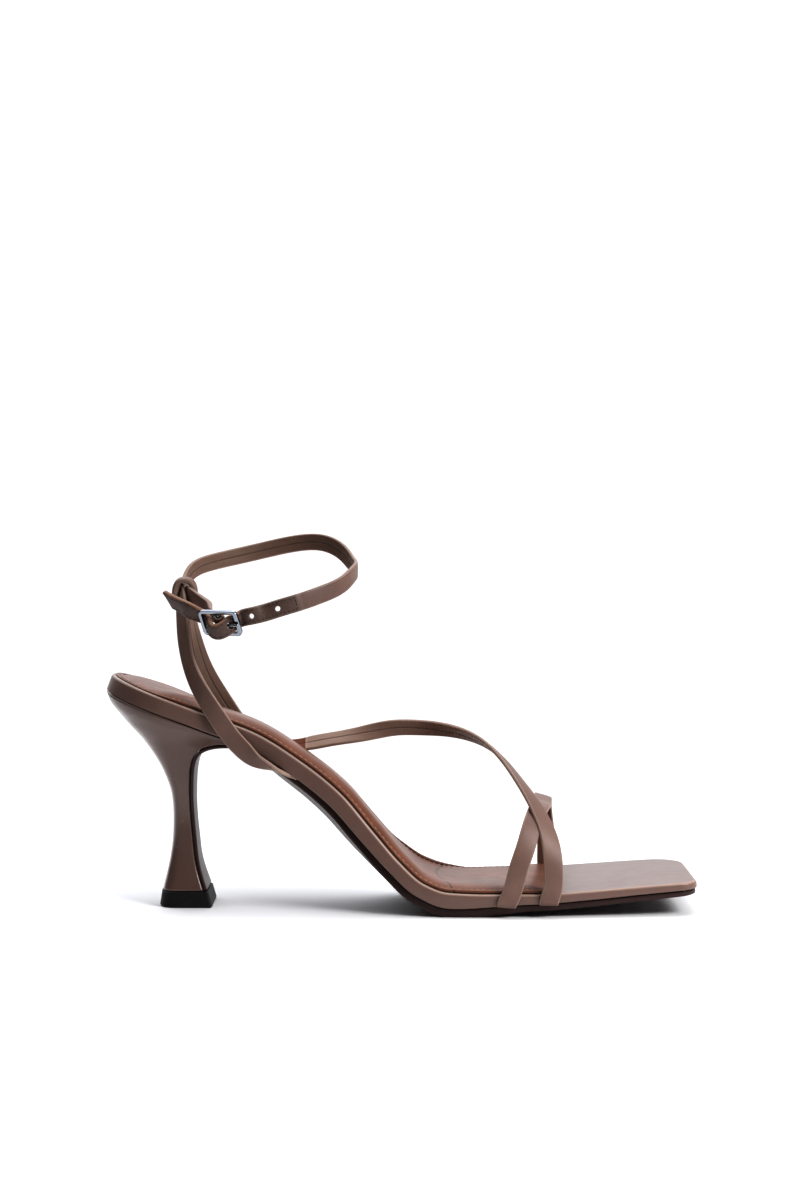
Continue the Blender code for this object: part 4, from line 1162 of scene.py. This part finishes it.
class SandalColours(bpy.types.PropertyGroup):
    """Colours of the leathers, metal, threads and floor."""

    taupe: colour_setting("Taupe", "Leather of the straps", (0.205, 0.127, 0.102))
    lining: colour_setting("Lining", "Inside of the straps", (0.190, 0.116, 0.084))
    toe_lining: colour_setting("Toe lining", "Inside of the toe strap", (0.150, 0.075, 0.048))
    # edge is also the colour of the painted highlights on folds, tucks and the footbed's top edge
    edge: colour_setting("Edge", "Folded and cut edges of the leather", (0.440, 0.320, 0.260))
    raw: colour_setting("Raw edge", "Cut edge of the doubled strap end", (0.330, 0.170, 0.095))
    footbed: colour_setting("Footbed", "Leather wrapped round the footbed", (0.212, 0.149, 0.130))
    sock: colour_setting("Sock", "Padded insole leather", (0.192, 0.074, 0.039))
    outsole: colour_setting("Outsole", "Sole leather", (0.040, 0.022, 0.018))
    heel: colour_setting("Heel", "Polished leather of the heel", (0.160, 0.102, 0.084))
    rubber: colour_setting("Rubber", "Top piece of the heel", (0.012, 0.010, 0.010))
    metal: colour_setting("Metal", "Buckle", (0.360, 0.385, 0.430))
    sock_thread: colour_setting("Sock thread", "Stitches round the sock", (0.420, 0.240, 0.150))
    # the sock's thread again, painted dark as the shade it lies in on the far side
    shaded_medial_thread: colour_setting("Medial thread", "Stitches on the sock's far side", (0.090, 0.030, 0.018))
    strap_thread: colour_setting("Strap thread", "Stitches on the strap ends", (0.100, 0.066, 0.055))
    floor: colour_setting("Floor", "Paper below and behind the shoe", (0.92, 0.92, 0.925))


def settings():
    """The scene's sizes and colours."""
    scene = bpy.context.scene
    return scene.sandal_sizes, scene.sandal_colours


# Operators


class SANDAL_OT_footbed(bpy.types.Operator):
    """Footbed wrapped in taupe leather, with its round edge"""

    bl_idname = "sandal.footbed"
    bl_label = "Footbed"

    def execute(self, context):
        """Rings through insets of the top, then round the wall; the top bows up by its crown."""
        sizes, colours = settings()
        outline = Outline()
        forward = outline.forward
        edge, depths = wall(np.zeros(len(forward)), FOOTBED.at("thick", forward), FOOTBED_EDGES)
        top = np.array(FOOTBED_TOP_INSETS)
        closed = FOOTBED_EDGES[0] + FOOTBED_TOP_LEFT * top
        top_run = top + (closed - top) * smooth_step(forward, *FOOTBED_TOP_CLOSES)[:, None]
        insets = np.concatenate([top_run, np.broadcast_to(edge, depths.shape)], axis=1)
        depths = np.pad(depths, ((0, 0), (len(top), 0)))
        upper = len(top) + len(edge) // 2
        step = np.arange(insets.shape[1])
        lifted = bank(forward, insets) * (step < upper)
        grid = layer_grid(outline, insets, depths, crown=FOOTBED.at("crown", forward), banked=lifted)
        # rim: where the painted highlight lies on the rounded top edge
        rim = np.zeros(len(step))
        rim[upper - 6:upper - 1] = RIM_HIGHLIGHT
        marks = {
            "rim": layer_marks(rim),
            # under: painted shade on the lower round and the underside
            "under": layer_marks(step >= len(step) - 3, bottom=1.0),
            "wall": layer_marks(step >= upper - 3, bottom=1.0),
        }
        finish = footbed_leather(sizes, colours)
        skin("footbed_wrap", grid, finish, ("footbed",), "met", marks)
        return {"FINISHED"}


class SANDAL_OT_sock(bpy.types.Operator):
    """Padded sock: a flat stitched rim, a channel, and foam that rises inside it"""

    bl_idname = "sandal.sock"
    bl_label = "Sock"

    def execute(self, context):
        """Rings over foam, channel, rim and round edge: each depth is the rim's less the foam's height."""
        sizes, colours = settings()
        outline = Outline(inset=SOCK_INSET, end=SOCK_FRONT, corner=SOCK_CORNER, step=1.2)
        forward = outline.forward
        bend = SOCK_ROUND * (1 - np.sin(quarter(6)))
        insets = np.concatenate([SOCK_TOP_INSETS, bend, [0.0, SOCK_LOWER_EDGE]])
        shut = smooth_step(forward, *SOCK_TOP_CLOSES)[:, None] * (insets > SOCK_RIM)
        insets = insets + (SOCK_RIM + SOCK_TOP_LEFT * (insets - SOCK_RIM) - insets) * shut
        grown = SOCK_FOAM_HEEL + (1 - SOCK_FOAM_HEEL) * smooth_step(forward - HEEL_BACK, *SOCK_HEEL)
        rise = (grown * (1 - (1 - SOCK_FOAM_BALL) * smooth_step(forward, *SOCK_BALL)))[:, None]
        foam = rise * self.shoulder(insets, sizes.padding / MM)
        channel = CHANNEL_DEPTH * np.exp(-((insets - STITCH_INSET) / CHANNEL_WIDE) ** 2)
        height = np.sqrt(np.maximum(0.0, SOCK_ROUND**2 - (SOCK_ROUND - insets) ** 2))
        edge = np.where(insets < SOCK_ROUND, SOCK_ROUND - height, 0.0)
        depths = self.seat(forward)[:, None] - GAP - SOCK_EDGE + edge + channel - foam
        depths[:, -2] = -GAP - SOCK_LOWER_EDGE
        depths[:, -1] = -GAP
        thinner = self.far_side(forward)[:, None] * (SOCK_THINNER + SOCK_FOAM_FAR * foam)
        lifted = bank(forward, insets + SOCK_INSET) - thinner
        lifted[:, -2:] = np.maximum(lifted[:, -2:], 0.0)
        hollow = smooth_step(forward, *SOCK_HOLLOW_COMES) - smooth_step(forward, *SOCK_HOLLOW_GOES)
        grid = layer_grid(outline, insets, depths, SOCK_FILL, -SOCK_HOLLOW * hollow, banked=lifted)
        # channel: where painted shade darkens the stitch channel
        marks = {"channel": layer_marks(np.exp(-((insets - STITCH_INSET) / CHANNEL_SHADE_WIDE) ** 2), SOCK_FILL)}
        piece = skin("sock_pad", grid, sock_leather(sizes, colours), ("sock",), "met", marks)
        self.stitch("sock_stitches", "lateral", outline, sizes, colours.sock_thread)
        # the far side's stitches: thread painted dark as shade
        self.stitch("medial_stitches_painted_shade", "medial", outline, sizes, colours.shaded_medial_thread)
        return {"FINISHED"}

    def shoulder(self, inset, padding):
        """Height of the foam over the rim: it rises steeply inside the rim and levels out."""
        left = np.clip(1 - (inset - SOCK_RIM) / SOCK_SHOULDER, 0.0, 1.0)
        return padding * (1 - left**SOCK_SHOULDER_ROUND) * (inset > SOCK_RIM)

    def far_side(self, forward):
        """How fully the sock is thinner on its far side: not at the heel's back and the front edge."""
        return smooth_step(forward - HEEL_BACK, *SOCK_HEEL) * (1 - smooth_step(forward, *SOCK_THINNER_FRONT))

    def seat(self, forward):
        """How much lower the sock lies at the back of the heel."""
        return SEAT_LOWER * (1 - smooth_step(forward, *SEAT_STRETCH))

    def stitch(self, name, side, outline, sizes, colour):
        """Thread in the channel along one side, from the heel to the middle of the front."""
        row = outline.at_inset(side, np.array([STITCH_INSET]))[2:, 0]
        inward = outline.inward[side][2:]
        places = run_length(row)
        lifted = bank(outline.forward, np.array([STITCH_INSET + SOCK_INSET]))[:, 0]
        lifted = (lifted - SOCK_THINNER * self.far_side(outline.forward))[2:] * (side == "medial")

        def read(at, beside, lift):
            base, aside = [[np.interp(at, places, column) for column in line.T] for line in (row, inward)]
            length, across = [base[k] + beside * aside[k] for k in (0, 1)]
            seat = self.seat(np.interp(length, FINE_LENGTH, FINE_FORWARD)) - np.interp(at, places, lifted)
            return on_sole(length, across, seat - GAP - SOCK_EDGE + STITCH_SUNK - lift)

        starts = np.arange(2.0, places[-1] - 2.0, sizes.stitch_pitch / MM)
        grid = stitch_grid(read, starts, sizes.stitch_length / MM, sizes.thread_radius / MM)
        skin(name, grid, thread(name, colour, sizes))


class SANDAL_OT_outsole(bpy.types.Operator):
    """Outsole with toe spring and arch, whose back end runs down the breast of the heel"""

    bl_idname = "sandal.outsole"
    bl_label = "Outsole"

    def execute(self, context):
        """Rings of the sole, joined by a spline at the waist to rings of the flap."""
        sizes, colours = settings()

        def inset(forward):
            return FOOTBED.at("inset", forward)

        outline = Outline(inset, TOE_END - SOLE_SHORT, step=2.0, start=SOLE_BACK)
        forward = outline.forward
        top = FOOTBED.at("thick", forward) + GAP
        insets, depths = wall(top, top + FOOTBED.at("sole", forward), SOLE_ROUNDS)
        body = layer_grid(outline, insets, depths, SOLE_FILL, belly=FOOTBED.at("belly", forward))
        body[..., 2] = np.maximum(body[..., 2], 0.0)
        waist = forward < WAIST_END
        back = refined(np.concatenate([self.flap_rings(SOLE_FILL)[::-1], body[waist][::3]]), 1.0)
        grid = np.concatenate([back, body[~waist]])
        skin("outsole_leather", grid, sole_leather(sizes, colours), ("outsole",), "first")
        return {"FINISHED"}

    def flap_rings(self, fill):
        """Sections down the front of the heel: the outsole's own ring, laid on the breast line."""
        heel = dict(zip(HEEL_COLUMNS, np.array(HEEL_SECTIONS, float).T))
        line = np.stack([heel["front_x"], heel["front_z"]], 1)
        along = unit(np.gradient(line, axis=0))
        face = np.stack([along[:, 1], -along[:, 0]], 1)[1:]
        half = heel["flap"][1:, None]
        origin = line[1:] - GAP * face
        origin[:, 1] = np.maximum(origin[:, 1], TOP_PIECE_HEIGHT + GAP)
        count = len(half)
        insets, depths = wall(np.zeros(count), np.full(count, FLAP_THICK), FLAP_ROUNDS)
        over = 1 - 2 * np.linspace(0, 1, fill + 2)[1:-1]
        below = np.broadcast_to(FLAP_THICK + FLAP_BOW * (1 - over**2), (count, fill))
        wide = half - insets
        across = np.concatenate([wide[:, :1] * over, -wide, -wide[:, -1:] * over, wide[:, ::-1]], axis=1)
        depth = np.concatenate([0 * below, depths, below, depths[:, ::-1]], axis=1)
        x, z = [origin[:, k:k + 1] - depth * face[:, k:k + 1] for k in (0, 1)]
        return np.stack([x, HEEL_MIDDLE + across, z], axis=-1)


def heel_rings(back, front, half, power, breast):
    """Rings round the heel: a superellipse at the back, sides that draw in, round corners, a flat breast."""
    length = np.linalg.norm(front - back, axis=1)[:, None]
    half, power, narrow = half[:, None], power[:, None], (breast / half)[:, None]
    turn = quarter(25)
    go = np.linspace(0, 1, 12)[1:]
    bend = quarter(7)[1:]
    flat = np.linspace(1, 0, 7)[1:]
    corner, corner_share = HEEL_CORNER / length, HEEL_CORNER / half
    runs = (
        (HEEL_WIDEST * (1 - np.cos(turn) ** (2 / power)), np.sin(turn) ** (2 / power)),
        (HEEL_WIDEST + (1 - corner - HEEL_WIDEST) * go, 1 - (1 - narrow) * go**2),
        (1 - corner + corner * np.sin(bend), narrow - corner_share * (1 - np.cos(bend))),
        (np.ones((len(half), len(flat))), (narrow - corner_share) * flat),
    )
    places, shares = [np.concatenate(run, axis=1) for run in zip(*runs)]
    places = np.concatenate([places, places[:, -2:0:-1]], axis=1)
    across = np.concatenate([shares, -shares[:, -2:0:-1]], axis=1) * half
    spot = back[:, None] + places[..., None] * (front - back)[:, None]
    return np.stack([spot[..., 0], HEEL_MIDDLE + across, spot[..., 1]], axis=-1)


class SANDAL_OT_heel(bpy.types.Operator):
    """Polished heel, flared to the seat and to the floor, and its rubber top piece"""

    bl_idname = "sandal.heel"
    bl_label = "Heel"

    def execute(self, context):
        """Rings through a spline of the table's sections, spread at the seat; the top piece has its own."""
        sizes, colours = settings()
        rows = np.array(HEEL_SECTIONS, float)
        places = run_length((rows[:, :2] + rows[:, 2:4]) / 2)
        at = np.linspace(0, places[-1], 110)
        fine = dict(zip(HEEL_COLUMNS, fair(rows, places, at).T))
        lip = 1 - smooth_step(at, 0.0, HEEL_LIP_LONG)
        back = np.stack([fine["back_x"] - HEEL_LIP[0] * lip, fine["back_z"] + HEEL_LIP[1] * lip], 1)
        front = np.stack([fine["front_x"], fine["front_z"] + HEEL_LIP[1] * lip], 1)
        grid = heel_rings(back, front, fine["half"] + HEEL_LIP[0] * lip, fine["power"], fine["breast"])
        skin("heel_cover", grid, heel_leather(sizes, colours), ("heel",))
        lift = dict(zip(TOP_PIECE_COLUMNS, np.array(TOP_PIECE_SECTIONS, float).T))
        back, front = [np.stack([lift[end], lift["height"]], 1) for end in ("back", "front")]
        grid = heel_rings(back, front, lift["half"], np.full(len(back), TOP_PIECE_POWER), lift["half"])
        piece = skin("heel_top_piece", grid, heel_rubber(sizes, colours), ("top_piece",))
        piece.data.set_sharp_from_angle(angle=np.radians(35))
        return {"FINISHED"}


class SANDAL_OT_forefoot_straps(bpy.types.Operator):
    """Toe strap and instep strap, crossed over the toes and tucked under the footbed"""

    bl_idname = "sandal.forefoot_straps"
    bl_label = "Forefoot straps"

    def execute(self, context):
        """Each strap's section is carried over the last; marks say where its lining changes, and where a
        painted highlight lightens the instep strap's far inside.
        """
        sizes, colours = settings()
        grid, marks = forefoot_strap(TOE_STRAP, TOE_STRAP_FEET, level=TOE_STRAP_LEVEL).rings()
        finish = strap_leather(sizes, colours, "toe_strap_leather", colours.toe_lining)
        skin("toe_strap", grid, finish, ("forefoot_straps",), marks=marks)
        leaned = {"lean": INSTEP_STRAP_LEAN, "taper": INSTEP_STRAP_TAPER}
        strap = forefoot_strap(INSTEP_STRAP, INSTEP_STRAP_FEET, **leaned)
        grid, marks = strap.rings()
        backward = -grid[..., 0]
        far = grid[..., 1] > 0
        tab = smooth_step(backward, -TAB_FORWARD - 1.0, -TAB_FORWARD + 1.0)
        marks["tab"] = tab * np.maximum(marks["inside"], marks["edge"]) * far
        # painted highlight on the far inside, where the overhead light falls
        marks["tuck_highlight"] = smooth_step(backward, 2.0, 30.0) * marks["inside"] * far
        finish = strap_leather(sizes, colours)
        skin("instep_strap", grid, finish, ("forefoot_straps",), marks=marks)
        return {"FINISHED"}


class SANDAL_OT_ankle_strap(bpy.types.Operator):
    """Long strap from the lateral waist round the ankle to its stitched tail"""

    bl_idname = "sandal.ankle_strap"
    bl_label = "Ankle strap"

    def execute(self, context):
        """The section is carried along the route, thicker at the doubled end, and pierced by pins."""
        sizes, colours = settings()
        strap = ankle_route().strap()
        first = len(ANKLE_RISE) + sum(turn < TIP_START_TURN for turn, _ in ANKLE_RING)
        tip = strap.places[first] - TIP_BACK
        strap.thick = STRAP_THICK + TIP_STEP * smooth_step(strap.at, tip, tip + TIP_STEP_LONG)
        strap.shift = (strap.width - ANKLE_WIDTH) / 2 * (strap.at > strap.places[-2])
        grid, marks = strap.rings()
        along = marks["along"]
        doubled = smooth_step(along, tip, tip + TIP_STEP_LONG)
        marks["tip"] = 0.5 * smooth_step(along, tip - 34.0, tip) + 0.5 * doubled
        marks["raw"] = smooth_step(along, tip + 20, tip + 24) * (marks["across"] < 0)
        # painted highlight on the end tucked under the footbed
        marks["tuck_highlight"] = 1 - smooth_step(along, 7.0, 12.0)
        finish = strap_leather(sizes, colours, "ankle_strap_leather")
        piece = skin("ankle_strap_leather", grid, finish, ("ankle_strap",), marks=marks)
        over = BUCKLE_BAR / 2 + GAP + PRONG_THICK / 2
        pin = [in_buckle((along, 0.0, over)) for along in (1.6, BUCKLE_LENGTH / 2 - 1.2)]
        cutters = [(*pin, PRONG_HOLE / 2)]
        for turn, height in PUNCHED_AT:
            through = ring_face(turn) * STRAP_THICK * 4
            spot = ring_point(turn, height)
            cutters.append((spot - through, spot + through, PUNCHED_HOLE / 2))
        pierce(piece, cutters)
        self.stitch(strap, tip, sizes, colours)
        return {"FINISHED"}

    def stitch(self, strap, tip, sizes, colours):
        """A row along each edge of the doubled end, and one across its start."""
        usual = np.array([sizes.stitch_pitch, sizes.stitch_length, sizes.thread_radius]) / MM
        pitch, length, radius = usual * STRAP_STITCHES

        def edge(side):
            def read(at, beside, lift):
                half = np.interp(at, strap.at, strap.width) / 2
                thick = np.interp(at, strap.at, strap.thick)
                return strap.point(at, side * (half - EDGE_STITCH_IN) + beside, thick * 0.955 + lift)
            return read

        def across(at, beside, lift):
            middle = at - ANKLE_WIDTH / 2
            share = middle / (ANKLE_WIDTH / 2 - STRAP_FOLD)
            place = np.full(at.shape, tip + 1.5)
            thick = np.interp(place, strap.at, strap.thick)
            return strap.point(place + beside, middle, thick * (1 - STRAP_DOME * share**2) + lift)

        along = np.arange(tip + 1.2, strap.places[-2] - 0.6, pitch)
        tail = np.concatenate([stitch_grid(edge(side), along, length, radius) for side in (-1, 1)])
        start = stitch_grid(across, np.arange(1.6, ANKLE_WIDTH - 2.0, pitch), length, radius)
        for name, grid in (("tail_stitches", tail), ("tip_stitches", start)):
            skin(name, grid, thread(name, colours.strap_thread, sizes))


class SANDAL_OT_buckle_strap(bpy.types.Operator):
    """Strap from the medial waist up to the folded eye that holds the buckle"""

    bl_idname = "sandal.buckle_strap"
    bl_label = "Buckle strap"

    def execute(self, context):
        """The section is carried along the route to the eye, which a pin pierces for the prong."""
        sizes, colours = settings()
        grid, marks = buckle_route().strap().rings()
        finish = strap_leather(sizes, colours, "buckle_strap_leather")
        piece = skin("buckle_strap_leather", grid, finish, ("buckle_strap",), marks=marks)
        pierce(piece, [(in_buckle((0.0, -SLOT_HALF, 0.0)), in_buckle((0.0, SLOT_HALF, 0.0)), SLOT_RADIUS)])
        return {"FINISHED"}


class SANDAL_OT_keeper_loop(bpy.types.Operator):
    """Leather band that holds the straps together at the back"""

    bl_idname = "sandal.keeper_loop"
    bl_label = "Keeper loop"

    def execute(self, context):
        """A rounded band section between two superellipses, tilted about the shoe's length."""
        sizes, colours = settings()
        turn = circle(96)
        inner = superellipse(turn, LOOP_INSIDE, LOOP_INSIDE_SQUARENESS)
        outer = superellipse(turn, LOOP_OUTSIDE, LOOP_OUTSIDE_SQUARENESS)
        bend = circle(40)
        across = squared(np.cos(bend), 0.6) * LOOP_WIDTH / 2
        out = squared(np.sin(bend), 0.8)
        flat = (inner + outer)[:, None] / 2 + out[None, :, None] * (outer - inner)[:, None] / 2
        wide, high = np.moveaxis(flat, -1, 0)
        tilt = np.radians(LOOP_TILT)
        side = across * np.cos(tilt) - high * np.sin(tilt)
        grid = np.stack([wide, side, high * np.cos(tilt) + across * np.sin(tilt)], axis=-1)
        marks = {
            "edge": smooth_step(np.abs(across), LOOP_WIDTH / 2 - 0.5, LOOP_WIDTH / 2 - 0.05),
            "inside": out < -0.7,
            "across": 2.0,
        }
        finish = strap_leather(sizes, colours, "keeper_leather")
        grid = grid + np.array(LOOP_CENTRE)
        skin("keeper_band", grid, finish, ("keeper_loop",), "joined", marks)
        return {"FINISHED"}


class SANDAL_OT_buckle(bpy.types.Operator):
    """Polished frame with its middle bar, and the prong curled round it"""

    bl_idname = "sandal.buckle"
    bl_label = "Buckle"

    def execute(self, context):
        """Three grids in the buckle's own axes."""
        sizes, colours = settings()
        finish = polished_metal(sizes, colours)
        skin("buckle_frame_metal", self.frame_grid(), finish, ("buckle_frame",), "joined")
        skin("buckle_bar_metal", self.bar_grid(), finish, ("buckle_frame",))
        skin("buckle_prong_metal", self.prong_grid(), finish, ("buckle_prong",))
        return {"FINISHED"}

    def frame_grid(self):
        """A rounded bar section carried round a rectangle with round corners, wider at the front bar."""
        half = np.array([BUCKLE_LENGTH - BUCKLE_BAR, BUCKLE_HEIGHT - BUCKLE_BAR]) / 2 - BUCKLE_CORNER
        at_corner = np.arange(4).repeat(15)
        turn = np.radians(np.tile(np.linspace(0, 90, 15), 4) + 90 * at_corner)
        corner = np.array([(1, 1), (-1, 1), (-1, -1), (1, -1)])[at_corner] * half
        face = np.stack([np.cos(turn), np.sin(turn)], 1)
        middle = corner + face * BUCKLE_CORNER
        bend = circle(32)
        wide, high = [squared(wave, 0.45) * BUCKLE_BAR / 2 for wave in (np.cos(bend), np.sin(bend))]
        more = 0.6 * np.maximum(0.0, face[:, :1]) - 0.2 * np.maximum(0.0, -face[:, :1])
        flat = middle[:, None] + (wide * (1 + more * (wide < 0)))[..., None] * face[:, None]
        out = np.broadcast_to(high[None, :, None], flat.shape[:2] + (1,))
        return in_buckle(np.concatenate([flat, out], axis=2))

    def bar_grid(self):
        """Straight round bar from one long side to the other."""
        bend = circle(24)
        up = np.linspace(-1, 1, 5)[:, None] * (BUCKLE_HEIGHT - BUCKLE_BAR) / 2
        radius = BUCKLE_BAR * 0.42
        spots = np.broadcast_arrays(radius * np.cos(bend), up, radius * np.sin(bend))
        return in_buckle(np.stack(spots, axis=-1))

    def prong_grid(self):
        """Round pin along a line that curls round the middle bar and lies on the front bar."""
        eye = BUCKLE_BAR / 2 + GAP + PRONG_THICK / 2
        turn = np.radians(np.arange(-200, 61, 26))
        front = (BUCKLE_LENGTH - BUCKLE_BAR) / 2
        curl = eye * np.stack([np.cos(turn), np.sin(turn)], 1)
        path = np.concatenate([curl, [(front * 0.5, eye), (front, eye), (front + 0.9, eye - 0.15)]])
        places = run_length(path)
        at = np.linspace(0, places[-1], 60)
        line = fair(path, places, at)
        along = unit(np.gradient(line, axis=0))
        side = np.stack([-along[:, 1], along[:, 0]], 1)
        bend = circle(20)
        taper = np.minimum(1.0, np.sqrt(np.maximum(0.02, (places[-1] - at) / 0.5)))[:, None]
        radius = PRONG_THICK / 2 * taper
        flat = line[:, None] + (radius * np.cos(bend))[..., None] * side[:, None]
        return in_buckle(np.stack([flat[..., 0], radius * np.sin(bend), flat[..., 1]], axis=-1))


class SANDAL_OT_stage(bpy.types.Operator):
    """White floor, soft studio light and the camera"""

    bl_idname = "sandal.stage"
    bl_label = "Stage"

    def execute(self, context):
        """Puts the floor, the glow, the soft boxes and the camera in the scene."""
        sizes, colours = settings()
        self.floor(colours)
        self.glow(context.scene)
        for box in SOFT_BOXES:
            self.soft_box(*box)
        view = context.scene.view_settings
        view.view_transform = "Standard"
        view.gamma = 0.7
        view.exposure = 0.12
        camera = placed("camera", bpy.data.cameras.new("camera"))
        camera.data.lens = sizes.camera_lens
        camera.data.sensor_width = 36.0
        camera.data.clip_start = 0.01
        camera.location = (SHIFT[0] * MM, -sizes.camera_distance, sizes.camera_height)
        camera.rotation_euler = (np.pi / 2 - sizes.camera_pitch, 0.0, 0.0)
        context.scene.camera = camera
        return {"FINISHED"}

    def floor(self, colours):
        """Flat sheet of paper, a square grid just under z = 0."""
        line = np.linspace(-1.0, 1.0, 9)
        x, y = np.meshgrid(0.5 * line, 0.05 + 0.31 * line, indexing="ij")
        points = np.stack([x, y, np.full_like(x, -0.0001)], axis=-1).reshape(-1, 3)
        index = np.arange(x.size).reshape(x.shape)
        faces = np.stack([index[:-1, :-1], index[1:, :-1], index[1:, 1:], index[:-1, 1:]], axis=-1)
        mesh = bpy.data.meshes.new("floor")
        mesh.from_pydata(points, [], faces.reshape(-1, 4).tolist())
        mesh.materials.append(studio_floor(colours))
        placed("floor", mesh)

    def glow(self, scene):
        """A bright room that is dim on the camera's side, and white where the camera sees it."""
        scene.world = bpy.data.worlds.new("studio")
        scene.world.use_nodes = True
        web = Nodes(scene.world.node_tree)
        heading = web.node("ShaderNodeTexCoord", {}, {}, "Generated")
        tilt = {0: heading, 1: (-0.2, 0.34, 0.92)}
        high = web.node("ShaderNodeVectorMath", {"operation": "DOT_PRODUCT"}, tilt, "Value")
        above = web.ramp(high, 0.5, 0.97)
        behind = web.ramp(web.axis(heading, "Y"), 0.5, 0.95)
        toe = web.ramp(web.axis(heading, "X"), 0.2, 0.9)
        glow = 0.02 + above * 1.75 + behind * 1.0 + toe * 0.5
        seen = web.node("ShaderNodeLightPath", {}, {}, "Is Camera Ray")
        cool = {0: seen, 6: (0.97, 0.985, 1.02, 1.0), 7: (1.0, 1.0, 1.0, 1.0)}
        colour = web.node("ShaderNodeMix", {"data_type": "RGBA"}, cool, 2)
        web.fill(web.tree.nodes["Background"], {"Color": colour, "Strength": glow * (1 - seen) + seen})

    def soft_box(self, name, place, target, size, power):
        """A rectangle of light that looks from its place to a target."""
        lamp = bpy.data.lights.new(name, "AREA")
        lamp.shape = "RECTANGLE"
        lamp.size, lamp.size_y = size
        lamp.energy = power
        box = placed(name, lamp)
        box.location = place
        aim = np.array(target) - np.array(place)
        flat = np.hypot(aim[0], aim[1])
        box.rotation_euler = (np.pi / 2 + np.arctan2(aim[2], flat), 0.0, np.arctan2(-aim[0], aim[1]))


class SANDAL_PT_panel(bpy.types.Panel):
    """Lists the pieces of the sandal"""

    bl_idname = "SANDAL_PT_panel"
    bl_label = "Sandal"
    bl_space_type = "VIEW_3D"
    bl_region_type = "UI"
    bl_category = "Sandal"

    def draw(self, context):
        """A button for each operator, and every setting."""
        for operator in OPERATORS:
            self.layout.operator(operator.bl_idname)
        for group in (context.scene.sandal_sizes, context.scene.sandal_colours):
            for name in group.bl_rna.properties.keys():
                if name not in ("rna_type", "name"):
                    self.layout.prop(group, name)


OPERATORS = (
    SANDAL_OT_footbed, SANDAL_OT_sock, SANDAL_OT_outsole, SANDAL_OT_heel, SANDAL_OT_forefoot_straps,
    SANDAL_OT_ankle_strap, SANDAL_OT_buckle_strap, SANDAL_OT_keeper_loop, SANDAL_OT_buckle, SANDAL_OT_stage,
)
CLASSES = (SandalSizes, SandalColours, *OPERATORS, SANDAL_PT_panel)


def register():
    """Registers the classes and puts the settings on the scene."""
    for made in CLASSES:
        bpy.utils.register_class(made)
    bpy.types.Scene.sandal_sizes = PointerProperty(type=SandalSizes)
    bpy.types.Scene.sandal_colours = PointerProperty(type=SandalColours)


def unregister():
    """Takes the settings and the classes out again."""
    del bpy.types.Scene.sandal_colours
    del bpy.types.Scene.sandal_sizes
    for made in reversed(CLASSES):
        bpy.utils.unregister_class(made)


def main():
    """Builds every piece."""
    register()
    for operator in OPERATORS:
        name = operator.bl_idname.split(".")[1]
        getattr(bpy.ops.sandal, name)()


if __name__ == "__main__":
    main()
